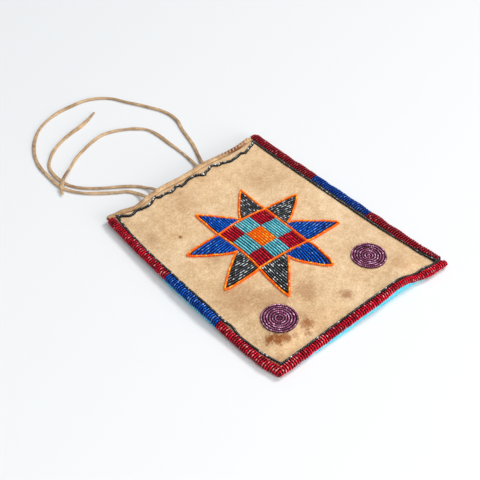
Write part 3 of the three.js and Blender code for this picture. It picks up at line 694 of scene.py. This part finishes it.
red = bead_kind("dark red glass", "red_beads", (122, 3, 22), (248, 20, 56), (255, 156, 154),
                share=0.17, gap_shade=0.93)
blue = bead_kind("cobalt glass", "blue_beads", (0, 42, 130), (0, 110, 234), (120, 178, 255),
                 share=0.15, gap_shade=0.97)
dark = bead_kind("gunmetal glass", "dark_beads", (12, 13, 15), (93, 97, 100), (245, 247, 248),
                 share=0.24, gap_shade=0.97, metal=0.3, coat=0.5)
orange = bead_kind("orange glass", "orange_beads", (255, 76, 0), (255, 128, 2), (255, 215, 80),
                   share=0.24, gap_shade=0.16, roughness=0.25)
turquoise = bead_kind("turquoise glass", "turquoise_beads", (62, 166, 186), (132, 232, 244), (215, 248, 252),
                      share=0.14, gap_shade=0.85, roughness=0.25, coat=0.2)
light_blue = bead_kind("light-blue glass", "light_blue_beads", (84, 222, 252), (155, 246, 255),
                       (215, 250, 255), share=0.1, gap_shade=0.3, roughness=0.3)
purple = bead_kind("lustred purple glass", "purple_beads", (76, 20, 52), (190, 106, 146), (250, 195, 230),
                   share=0.18, gap_shade=0.94, metal=0.2, coat=0.2)
print("finishes so far:", len(bpy.data.materials))

# %% [markdown]
# ## Edging
# The seam of the bag is wrapped with short lanes of beads. Each lane starts on the back, rolls over the cut
# edges and ends on the front. Red, blue and red lanes run up the sides, and red ones along the foot. A
# ridged tube would look alike from far off, but single beads, some with a painted glint, give the broken
# glints along the roll.

# %% One lane
# The section of a lane: distance in from the outside and height above the seam
LANE_PATH = [(6.0, 2.15), (4.7, 2.55), (3.2, 2.5), (1.9, 1.95), (1.1, 0.9), (0.95, -0.3), (1.5, -1.6),
             (2.5, -2.35), (3.8, -2.3)]
LANE_MIDDLE = 3.4


def lane_points(along, room, seed, full):
    """One lane, pulled in and out a little, scaled by full and cut short to fit its room."""
    swell = 1 + 0.18 * ripple(along * 0.09, seed, 0)
    lean = 0.5 * ripple(along * 0.05, seed, 5)
    return [(LANE_MIDDLE + (t - LANE_MIDDLE) * swell * full, z * swell * full, lean * (t - 3) / 3)
            for t, z in LANE_PATH if t < room]


print("points of a lane:", len(LANE_PATH))

# %% Lanes of the three edges
# Room for the first lane at a corner, and room enough for any lane
CORNER_ROOM = 1.3
FULL_ROOM = 9
# How much of its size a roll gains with each millimetre from its end
TAPER = 0.12
LEFT_FOOT = foot_edge(-90) + 2.2
RIGHT_FOOT = foot_edge(92) + 8.4
LEFT_STOP = TOP - 6.4


def left_lane(y):
    room = y - foot_edge(-88) + CORNER_ROOM
    full = min(1.0, 0.85 + TAPER * (LEFT_STOP - y))
    wide = 1 + 0.4 * fade(y - LEFT_FOOT, 36)
    return [(left_edge(y) + t * wide, y + lean, left_seam(y) + z)
            for t, z, lean in lane_points(y, room, 1, full)]


def right_lane(y):
    full = min(1.0, 0.6 + TAPER * (TOP - y))
    wide = 1.68 - 0.62 * fade(y - RIGHT_FOOT, 34)
    return [(right_edge(y) + 0.5 - t * wide, y + lean, right_seam(y) + 0.3 + z * 1.22)
            for t, z, lean in lane_points(y, FULL_ROOM, 3, full)]


def foot_pinch(x):
    """1 where the roll along the foot is drawn up most, and 0 away from there."""
    return max(0.0, 1 - ((x - 44) / 26) ** 2)


def foot_lane(x):
    room = x - left_edge(-TOP) + CORNER_ROOM
    full = min(1.0, 0.5 + TAPER * (right_edge(-TOP) - x))
    thin = 1 - 0.32 * foot_pinch(x)
    low = 0.75 - 0.06 * (foot_seam(x) - LOW_SEAM)
    return [(x + lean, foot_edge(x) + 6 - (6 - t) * thin, foot_seam(x) + z * (1 if z > 0 else low * thin))
            for t, z, lean in lane_points(x, room, 7, full)]


print("left edging from", round(LEFT_FOOT, 1), "to", LEFT_STOP)

# %% Edging pieces
LANE = 2.15
LOOSE_LANE = 2.4
LEFT_BLUE = (-42.55, 20.75)
RIGHT_BLUE = (-30.85, 32.45)


def lanes(lane, start, end, pitch=LANE):
    """Lanes side by side from one end of an edge to the other."""
    count = round((end - start) / pitch)
    return [lane(start + (k + 0.5) * (end - start) / count) for k in range(count)]


left_red = lanes(left_lane, LEFT_FOOT, LEFT_BLUE[0]) + lanes(left_lane, LEFT_BLUE[1], LEFT_STOP, LOOSE_LANE)
right_red = lanes(right_lane, RIGHT_FOOT, RIGHT_BLUE[0]) + lanes(right_lane, RIGHT_BLUE[1], TOP, LOOSE_LANE)
foot_red = lanes(foot_lane, left_edge(-TOP) + 2.2, right_edge(-TOP) - 0.2)
# Name, lanes, kind, nodes, painted glints and light of each piece. A low light paints the right rolls darker,
# as shade.
EDGING = [
    ("edging_red_left", left_red, red, ["left_edging_lower_red", "left_edging_upper_red"], 1, 1),
    ("edging_red_right", right_red, red, ["right_edging_lower_red", "right_edging_upper_red"], 0.86, 0.34),
    ("edging_blue_left", lanes(left_lane, *LEFT_BLUE), blue, ["left_edging_blue"], 1, 1),
    ("edging_blue_right", lanes(right_lane, *RIGHT_BLUE), blue, ["right_edging_blue"], 0.92, 0.34),
    ("edging_red_foot", foot_red, red, ["foot_edging_red"], 1, 1),
]
for seed, (name, strings, kind, nodes, painted_glint_level, light) in enumerate(EDGING, 11):
    sew_beads(name, strings, kind, nodes, 1.72, 1.84, seed, painted_glint_level, light)

# %% [markdown]
# ## Bead lines
# A single string of gunmetal beads runs inside the edging and waves along below the mouth. A straight line
# would look printed. The real thread was pulled unevenly, so each line wanders at measured distances.

# %% Lines inside the edging
LEFT_INSET = [(0.04, 10.2), (0.09, 9.4), (0.126, 8.4), (0.176, 7.4), (0.228, 7.4), (0.268, 9), (0.3, 7.9),
              (0.4, 7.6), (0.58, 7.3), (0.69, 7), (0.76, 6.9), (0.83, 7.2), (0.9, 7.9), (0.95, 9.2), (1, 9.4)]
RIGHT_INSET = [(0.042, 5.7), (0.063, 6.8), (0.094, 8.3), (0.13, 8.7), (0.17, 8.7), (0.22, 9.8), (0.3, 10.8),
               (0.45, 11), (0.7, 10.8), (1, 10.9)]
FOOT_INSET = [(0.05, 7.9), (0.1, 7.3), (0.2, 7.2), (0.4, 7.4), (0.6, 7.6), (0.72, 7.8), (0.83, 7.4),
              (0.857, 7.8), (0.884, 8.3), (0.91, 7.5), (0.944, 7), (0.965, 8.2)]
LINE_STEP = 2
SLACK = 0.35


def steps(start, end, step):
    """Even steps from start to end, with both ends."""
    count = round((end - start) / step)
    return [start + (end - start) * k / count for k in range(count + 1)]


def wander(value, along, seed):
    return value + SLACK * ripple(along * 0.12, seed, 0)


left_line = [(wander(left_edge(y) + through(LEFT_INSET, side_share(y)), y, 1), y)
             for y in steps(foot_edge(-82) + 7.7, 104.2, LINE_STEP)]
right_line = [(wander(right_edge(y) - through(RIGHT_INSET, side_share(y)), y, 5), y)
              for y in steps(foot_edge(84) + 8.6, 103.6, LINE_STEP)]
foot_line = [(x, wander(foot_edge(x) + through(FOOT_INSET, foot_share(x)), x, 9))
             for x in steps(-80.4, 85.2, LINE_STEP)]
print("points of the lines:", len(left_line), len(right_line), len(foot_line))

# %% Dark bead lines
MOUTH_LINE = [
    (-77.4, 104.6), (-74.6, 101), (-72, 98.8), (-68.9, 95.4), (-66, 95.2), (-60.9, 97.3), (-56, 95.6),
    (-51.2, 94), (-46.6, 94.7), (-42.6, 97.6), (-40, 98), (-37.6, 95.6), (-33, 96.4), (-30.2, 96.2),
    (-26, 94.4), (-22, 95.6), (-19.7, 96.9), (-16.8, 96.7), (-15, 94.2), (-10.6, 95.2), (-6.3, 97),
    (1.5, 96.9), (5, 95.4), (8.5, 92.3), (11.5, 95), (15.5, 95.6), (18.7, 97.9), (21.7, 97.7), (24.7, 94.9),
    (29.5, 94.9), (37.6, 92.3), (47, 94), (51.2, 95.6), (55.2, 93.9), (63.6, 98), (69, 100.4), (73.4, 104),
]
# Name, points, node, width of a bead and painted glints of each line
LINES = [
    ("line_left", left_line, "left_bead_line", 2.15, 0.88),
    ("line_right", right_line, "right_bead_line", 2.15, 0.88),
    ("line_foot", foot_line, "foot_bead_line", 2.15, 0.88),
    ("line_mouth", MOUTH_LINE, "mouth_bead_line", 2.6, 0.95),
]
BEAD_RAISE = 0.75


def on_back(points):
    """Points on the back, raised to the middle of a bead."""
    return [(x, y, back_top(x, y) + BEAD_RAISE) for x, y in points]


for seed, (name, line, node, across, painted_glint_level) in enumerate(LINES, 21):
    sew_beads(name, [on_back(line)], dark, [node], 0.78 * across, across, seed, painted_glint_level, light=0.45)

# %% [markdown]
# ## Star
# The star is a checker of nine squares with a pair of narrow points on each side. Its beads are strung in
# lanes: up the bag in the checker and in the points above and below it, and across the bag in the points at
# its sides. Flat patches with a drawn pattern would be quicker, but the lanes show one by one, with painted
# shade between them and painted glints on some beads. A single string of orange beads outlines every point
# and the checker.


# %% Lines and corners of the star
def mixed(a, b, share):
    return tuple(p + (q - p) * share for p, q in zip(a, b))


def through_points(a, middle, b, share):
    """A place on a curve through three others."""
    return tuple(through_three(p, q, r, share) for p, q, r in zip(a, middle, b))


def bowed(a, b, share, bow):
    """A place between two others on a line that bows to its right by so many millimetres."""
    x, y = mixed(a, b, share)
    reach = math.dist(a, b)
    push = bow * (1 - (2 * share - 1) ** 4) / reach
    return x + (b[1] - a[1]) * push, y - (b[0] - a[0]) * push


CORNERS = [(-29, 28.8), (20.1, 27.8), (20.3, -22.8), (-29.2, -21)]
# Middles of the checker's sides, and the notches between the two points on each side
SIDES = [(-3.9, 30.5), (20.3, 3.2), (-4, -21.3), (-27.4, 4.2)]
NOTCHES = [(-3.9, 31), (22.6, 3.7), (-3.1, -25.6), (-29.8, 4.4)]
TIPS = [(-28.2, 59.2), (20.8, 58.8), (51.8, 24.6), (55.5, -23.7),
        (17.3, -55.9), (-32.2, -58.7), (-64.5, -21.8), (-63.6, 26.9)]
# How far each point bows out, from its corner to its tip and from its tip to its notch
BOWS = [(0.7, 0.4), (-0.6, 1.5), (0.4, 1.9), (0.8, 2.2), (1.9, 3.0), (1.1, 0.6), (1.2, 1.6), (1.1, 2.2)]
star_points = []
for k, (tip, bows) in enumerate(zip(TIPS, BOWS)):
    side = k // 2
    second = k % 2
    corner_bow, notch_bow = [bow if second else -bow for bow in bows]
    star_points.append((CORNERS[(side + second) % 4], tip, NOTCHES[side], SIDES[side], corner_bow, notch_bow))
print("points of the star:", len(star_points))

# %% Star points
POINT_NAMES = ["top_left", "top_right", "right_upper", "right_lower",
               "bottom_right", "bottom_left", "left_lower", "left_upper"]
POINT_LANE = 0.93 * LANE
# Room for the outline along an edge, and for it and half a lane beside the corner
INSET = 1.15
FIRST_LANE = INSET + 0.9
SHORTEST_LANE = 2 * INSET + 2
STAR_SPACING = 1.62


def point_lanes(corner, tip, notch, middle, corner_bow, notch_bow):
    """Lanes of one point, from the checker outwards, shorter towards the notch."""
    width = math.dist(corner, middle)
    count = round((width - FIRST_LANE) / POINT_LANE)
    found = []
    for k in range(count):
        share = (FIRST_LANE + k * (width - FIRST_LANE) / count) / width
        near = mixed(corner, middle, share)
        far = bowed(tip, notch, share, notch_bow)
        length = math.dist(near, far)
        if length > SHORTEST_LANE:
            start = INSET / length
            end = 1 - 1.5 * INSET / length
            lane = [bowed(near, far, start + (end - start) * part / 4, corner_bow * (1 - share))
                    for part in range(5)]
            found.append(on_back(lane))
    return found


def sew_points(name, chosen, kind, across, seed):
    """The points of one colour, as one piece."""
    strings = [lane for k in chosen for lane in point_lanes(*star_points[k])]
    nodes = ["star_point_" + POINT_NAMES[k] for k in chosen]
    sew_beads(name, strings, kind, nodes, STAR_SPACING, across, seed)


sew_points("star_points_blue", [0, 3, 4, 7], blue, 1.82, 31)
sew_points("star_points_dark", [1, 2, 5, 6], dark, 1.8, 32)

# %% Star outline
RIM_STEPS = [part / 12 for part in range(13)]


def loose(x, y):
    """A place on a line whose thread was pulled unevenly."""
    return x + SLACK * ripple(x * 0.22, y * 0.22, 1), y + SLACK * ripple(x * 0.22, y * 0.22, 4)


rims = []
for corner, tip, notch, middle, corner_bow, notch_bow in star_points:
    rims.append([bowed(corner, tip, share, corner_bow) for share in RIM_STEPS])
    rims.append([bowed(tip, notch, share, notch_bow) for share in RIM_STEPS])
checker_rims = [[through_points(CORNERS[k], SIDES[k], CORNERS[(k + 1) % 4], share) for share in RIM_STEPS]
                for k in range(4)]
outline = [on_back([loose(*place) for place in line]) for line in rims + checker_rims]
sew_beads("star_outline_beads", outline, orange, ["star_outline"], spacing=1.75, across=2.05, seed=33)

MARGIN = 0.023


def inset_shares(*shares):
    return [MARGIN + (1 - 2 * MARGIN) * share for share in shares]


def on_checker(u, v):
    """A place inside the four bowed sides of the checker."""
    top_left, top_right, bottom_right, bottom_left = CORNERS
    low = through_points(bottom_left, SIDES[2], bottom_right, u)
    high = through_points(top_left, SIDES[0], top_right, u)
    left = through_points(bottom_left, SIDES[3], top_left, v)
    right = through_points(bottom_right, SIDES[1], top_right, v)
    flat = mixed(mixed(bottom_left, bottom_right, u), mixed(top_left, top_right, u), v)
    return tuple(a + b - c for a, b, c in zip(mixed(left, right, u), mixed(low, high, v), flat))


print("middle of the checker:", [round(part, 1) for part in on_checker(0.5, 0.5)])

# %% Checker
COLUMNS = inset_shares(0, 0.308, 0.66, 1)
ROWS = inset_shares(0, 0.305, 0.71, 1)
COLUMN_NAMES = ["left", "middle", "right"]
ROW_NAMES = ["bottom", "middle", "top"]
CHECKER_WIDTH = 49.5
CHECKER_LANE = 2.36


def square_lanes(column, row):
    """Lanes of one square of the checker, along the bag."""
    left, right = COLUMNS[column:column + 2]
    low, high = ROWS[row:row + 2]
    count = round((right - left) * CHECKER_WIDTH / CHECKER_LANE)
    shares = [left + (k + 0.5) * (right - left) / count for k in range(count)]
    return [on_back([on_checker(share, low + (high - low) * part / 4) for part in range(5)])
            for share in shares]


def sew_squares(name, squares, kind, seed, painted_glint_level=1.0):
    """The squares of one colour, as one piece."""
    strings = [lane for square in squares for lane in square_lanes(*square)]
    nodes = ["checker_" + ROW_NAMES[row] + "_" + COLUMN_NAMES[column] for column, row in squares]
    sew_beads(name, strings, kind, nodes, STAR_SPACING, 1.82, seed, painted_glint_level)


sew_squares("checker_red", [(0, 0), (2, 0), (0, 2), (2, 2)], red, 34, 0.86)
sew_squares("checker_turquoise", [(1, 0), (0, 1), (2, 1), (1, 2)], turquoise, 35)
sew_squares("checker_orange", [(1, 1)], orange, 36)

# %% [markdown]
# ## Rosettes
# Each rosette is worked in rings of purple beads round its middle, one string after the other. A spiral
# would need one string only, but it ends in a step, and both rosettes close evenly.

# %% Rosettes
# Name, middle, pull on its left and seed of each rosette
ROSETTES = [("rosette_left", (-52.9, -70.7), 0.0, 41), ("rosette_right", (45.6, -66.9), 0.05, 42)]
ROSETTE_RADIUS = 13.6
RING_PITCH = 2.1
RINGS = 7
RING_STEPS = 48


def ring(centre, radius, pinch):
    """One ring of a rosette, pulled in a little on its left."""
    places = []
    for k in range(RING_STEPS + 1):
        angle = 2 * math.pi * k / RING_STEPS
        reach = radius * (1 - pinch * max(0.0, -math.cos(angle - 0.5)) ** 3)
        places.append((centre[0] + reach * math.cos(angle), centre[1] + reach * math.sin(angle)))
    return on_back(places)


for name, centre, pinch, seed in ROSETTES:
    rings = [ring(centre, ROSETTE_RADIUS - RING_PITCH * k, pinch) for k in range(RINGS)]
    sew_beads(name + "_beads", rings, purple, [name], spacing=1.6, across=1.72, seed=seed)

# %% [markdown]
# ## Painted shade on the back
# Between the beads of the star and the rosettes the hide is painted near black, as shade. Dark patches could
# lie below them, but the hide's finish already reads how much painted shade a point gets, so the points
# below the beads are marked.

# %% Painted shade below the beads
fields = [rims[2 * k] + rims[2 * k + 1][1:] for k in range(len(star_points))] + [CORNERS]


def under_beads(x, y):
    """1 below the beads of the star and the rosettes, 0 on the open hide."""
    if min(math.dist((x, y), centre) for name, centre, pinch, seed in ROSETTES) < ROSETTE_RADIUS:
        return 1.0
    for field in fields:
        edges = zip(field, field[1:] + field[:1])
        turns = [(b[0] - a[0]) * (y - a[1]) - (b[1] - a[1]) * (x - a[0]) for a, b in edges]
        if min(turns) > 0 or max(turns) < 0:
            return 1.0
    return 0.0


# Painted shade on the back, under the edging and under the beads of the star and the rosettes
mark_painted_shade(back_panel, lambda x, y: max(near_seam(x, y), under_beads(x, y)))
print("dirt at the middle of the star:", under_beads(0, 0))

# %% [markdown]
# ## Front bead field
# The whole front is worked in rows of light-blue beads from side to side. They carry the bag on the table,
# and they show only where the edge lifts: the rows then turn up and make a low wall under the edging. A
# plain blue sheet would do for the hidden middle, but the rows run on through it, so they are sewn whole.

# %% Rows from side to side
BEAD = 1.8
ROW_HEIGHT = 1.0
# How far in from the outside the field starts, where the seam lies low and where it is high
FIELD_CLEAR = 4.7
FIELD_UNDER = 2.1
FIELD_FOOT = -TOP + 13.6
FIELD_MOUTH = TOP - 14.1


def wall_foot(lift):
    """How far in from the outside the field starts, for a seam lifted so far."""
    return FIELD_CLEAR + (FIELD_UNDER - FIELD_CLEAR) * clipped((lift - 0.8) / 1.1)


def wall_top(lift):
    return BEAD + max(0.0, lift - 2.1)


def front_row(y):
    """One row from wall to wall. Its left end swells out and up where that seam is high."""
    left = left_seam(y) - LOW_SEAM
    right = right_seam(y) - LOW_SEAM
    swell = clipped((left - 1.6) / 1.2)
    start = left_edge(y) + wall_foot(left) + 0.9 - 1.1 * swell
    end = right_edge(y) - wall_foot(right) - 0.9
    return [(start, y, wall_top(left) - 0.8 + 0.7 * swell), (start + 0.5, y, ROW_HEIGHT),
            (end - 0.5, y, ROW_HEIGHT), (end, y, wall_top(right) - 0.8)]


rows = [front_row(y + LANE / 2) for y in steps(FIELD_FOOT, FIELD_MOUTH, LANE)[:-1]]
print("rows on the front:", len(rows))

# %% Rows along the foot
# Distance of the lowest row from the outside
FOOT_ROW = [(0.1, 3.6), (0.135, 3), (0.19, 2.2), (0.28, 1.9), (0.39, 1.7), (0.5, 3), (0.6, 3.4), (0.72, 4.6),
            (0.8, 4.6), (0.86, 3.4)]
TABLE_ROWS = 4
WALL_ROWS = 6
WALL_PITCH = 1.75


def table_row(step):
    """A row along the foot on the table, where the last one ends short of the field."""
    row = [(x, foot_edge(x) + through(FOOT_ROW, foot_share(x)) + step * LANE, ROW_HEIGHT)
           for x in steps(-82, 82, 4)]
    return [place for place in row if step < TABLE_ROWS or place[1] < FIELD_FOOT - 0.5]


def wall_row(level):
    """A row on the foot's wall, only where the wall is high enough, and tight below the roll."""
    height = ROW_HEIGHT + level * WALL_PITCH
    row = []
    for x in steps(-72, 68, 2):
        top = wall_top(foot_seam(x) - LOW_SEAM) + 0.8 + 1.7 * foot_pinch(x)
        reach = through(FOOT_ROW, foot_share(x))
        inset = min(reach + 0.25 * level, max(3.3, reach - 0.5 * level))
        if level == 0 or top + 1 > height:
            row.append((x, foot_edge(x) + inset, min(height, max(top, ROW_HEIGHT))))
    return row


foot_rows = [table_row(step) for step in range(1, TABLE_ROWS + 1)]
foot_rows += [row for row in map(wall_row, range(WALL_ROWS)) if len(row) > 2]
half = len(rows) // 2
sew_beads("front_rows_foot", rows[:half], light_blue, ["front_bead_field", "front_bead_left"],
          spacing=1.75, across=1.95, seed=51, bead=plain_bead)
sew_beads("front_rows_mouth", rows[half:], light_blue, ["front_bead_right"],
          spacing=1.75, across=1.95, seed=52, bead=plain_bead)
sew_beads("front_rows_wall", foot_rows, light_blue, ["front_bead_foot"], spacing=1.8, across=1.9, seed=53)

# %% [markdown]
# ## Mouth bindings
# A narrow strip of hide is folded over each cut edge of the mouth and whip stitched. A swept tube would hide
# the fold, so the strip is a grid bent round the edge, as the real one is. Near the right end it is laced
# over with a thicker strand, and rubbed to a reddish brown.

# %% Binding finish
binding_finish, at = new_finish("binding hide")
worn = at.grain(110, 4, 0.65)
nap = at.grain(900, 4, 0.65)
colour = (0.6 * worn + 0.4 * nap).ramp(
    (0.35, srgb(158, 114, 72)), (0.5, srgb(206, 168, 124)), (0.65, srgb(238, 210, 172)))
colour = colour.tinted(srgb(104, 50, 26), stain(at, (50, 106), 22, 1.3, 260) * 0.95)
colour = colour.tinted(srgb(128, 82, 46), stain(at, (-70, 103), 34, 1.4, 260) * 0.5)
# Painted shade, in patches, along the binding's cut edges
colour = colour.tinted(srgb(84, 50, 28), at.written("painted_shade") * (1.6 * worn - 0.7).clamped())
coat_surface(at, {"Base Color": colour, "Roughness": 0.9, "Specular IOR Level": 0.25},
             0.5 * nap + worn, 0.0005)
print("finish:", binding_finish.name)

# %% Bindings
BINDING = 0.6
BINDING_WIDTH = 4.2
# The fold: distance in from the mouth's edge and height above the underside of the hide
FOLD = [(BINDING_WIDTH, 1.75), (2.5, 1.8), (0.5, 1.8), (-0.6, 1.3), (-0.9, 0.5), (-0.6, -0.3),
        (0.5, -0.7), (2.5, -0.7), (BINDING_WIDTH, -0.65)]
FOLD_MIDDLE = 1.65


def binding_place(level, start, end):
    """Points of a strip round the mouth edge, whose hide's underside is at level(x, y)."""
    last = len(FOLD) - 1

    def place(u, v):
        x = start + (end - start) * u
        k = min(int(v * last), last - 1)
        inward, rise = mixed(FOLD[k], FOLD[k + 1], v * last - k)
        narrow = min(1.0, 0.25 + math.sqrt(min(x - start, end - x) / 5))
        inward = FOLD_MIDDLE + (inward - FOLD_MIDDLE) * narrow
        y = mouth_edge(x) + 0.25 * ripple(x * 0.25, 0, 0)
        return x, y - inward, level(x, y - max(inward, 0)) + rise

    return place


def creased(x, y):
    """Painted shade along the binding's cut edges."""
    return max(0.0, 1 - abs(mouth_edge(x) - y - BINDING_WIDTH) / 0.5)


back_strip = bent_sheet(130, 16, binding_place(lambda x, y: back_top(x, y) - HIDE, -83.4, 76), BINDING)
back_binding = add_piece("binding_back", back_strip, binding_finish, ["back_mouth_binding"])
mark_painted_shade(back_binding, creased)
front_strip = bent_sheet(90, 16, binding_place(lambda x, y: FRONT_TOP - HIDE, -68, 66), BINDING)
add_piece("binding_front", front_strip, binding_finish, ["front_mouth_binding"])

# %% Whip stitches
thread_finish, at = new_finish("sewing thread")
colour = at.grain(1500, 2).ramp((0.3, srgb(160, 108, 70)), (0.7, srgb(232, 196, 156)))
coat_surface(at, {"Base Color": colour, "Roughness": 0.7})
STITCH_STEPS = (2.6, 1.6, 0.6, -0.4)


def stitch(x, raise_by):
    """One slanted stitch over the back's binding."""
    places = []
    for inward in STITCH_STEPS:
        y = mouth_edge(x) - inward
        rise = raise_by if inward > 0 else raise_by - 0.55
        slant = 0.5 * (STITCH_STEPS[0] - inward)
        places.append((x + slant, y, back_top(x, min(y, mouth_edge(x))) + rise))
    return places


stitches = [stitch(x, 1.3) for x in steps(-80, 72, 3.4)]
thread = (thread_finish, "binding")
sew_beads("whip_stitches", stitches, thread, [], spacing=1.1, across=0.55, seed=61, bead=plain_bead)
lacing = [stitch(x, 1.6) for x in steps(33, 68, 3.9)]
sew_beads("lacing", lacing, thread, [], spacing=0.8, across=1.5, seed=62, bead=plain_bead)

# %% [markdown]
# ## Floor and light
# The bag lies on a white table in a bright studio. A picture of a studio could light it, but a few soft
# lights are easier to place. A large one stands to the right, so the shadow falls softly to the left. One
# above and one in front fill it in, so the light-blue wall under the foot stays bright.

# %% Floor
bm = bmesh.new()
bmesh.ops.create_grid(bm, x_segments=2, y_segments=2, size=6.0)
floor = placed("floor", mesh_from("floor", bm))
floor_finish, at = new_finish("white table")
coat_surface(at, {"Base Color": (0.745, 0.745, 0.748, 1.0), "Roughness": 0.7, "Specular IOR Level": 0.2})
floor.data.materials.append(floor_finish)
print("floor faces:", len(floor.data.polygons))


# %% Lights
def soft_light(name, place, size, power):
    """A square light that faces the bag."""
    lamp = bpy.data.lights.new(name, "AREA")
    lamp.shape = "SQUARE"
    lamp.size = size
    lamp.energy = power
    light = placed(name, lamp)
    light.location = place
    light.rotation_euler = (-Vector(place)).to_track_quat("-Z", "Y").to_euler()


soft_light("key", (2.8, -0.1, 3.7), 1.5, 133)
soft_light("overhead", (-0.9, -1.7, 2.8), 2.6, 63)
soft_light("fill", (0.3, -2.6, 0.9), 1.4, 44)
world = bpy.data.worlds.new("studio")
bpy.context.scene.world = world
world.use_nodes = True
sky = world.node_tree.nodes["Background"].inputs
sky["Color"].default_value = (0.84, 0.93, 1.0, 1.0)
sky["Strength"].default_value = 0.28
bpy.context.scene.view_settings.view_transform = "Standard"
print("lights:", len(bpy.data.lights))

# %% [markdown]
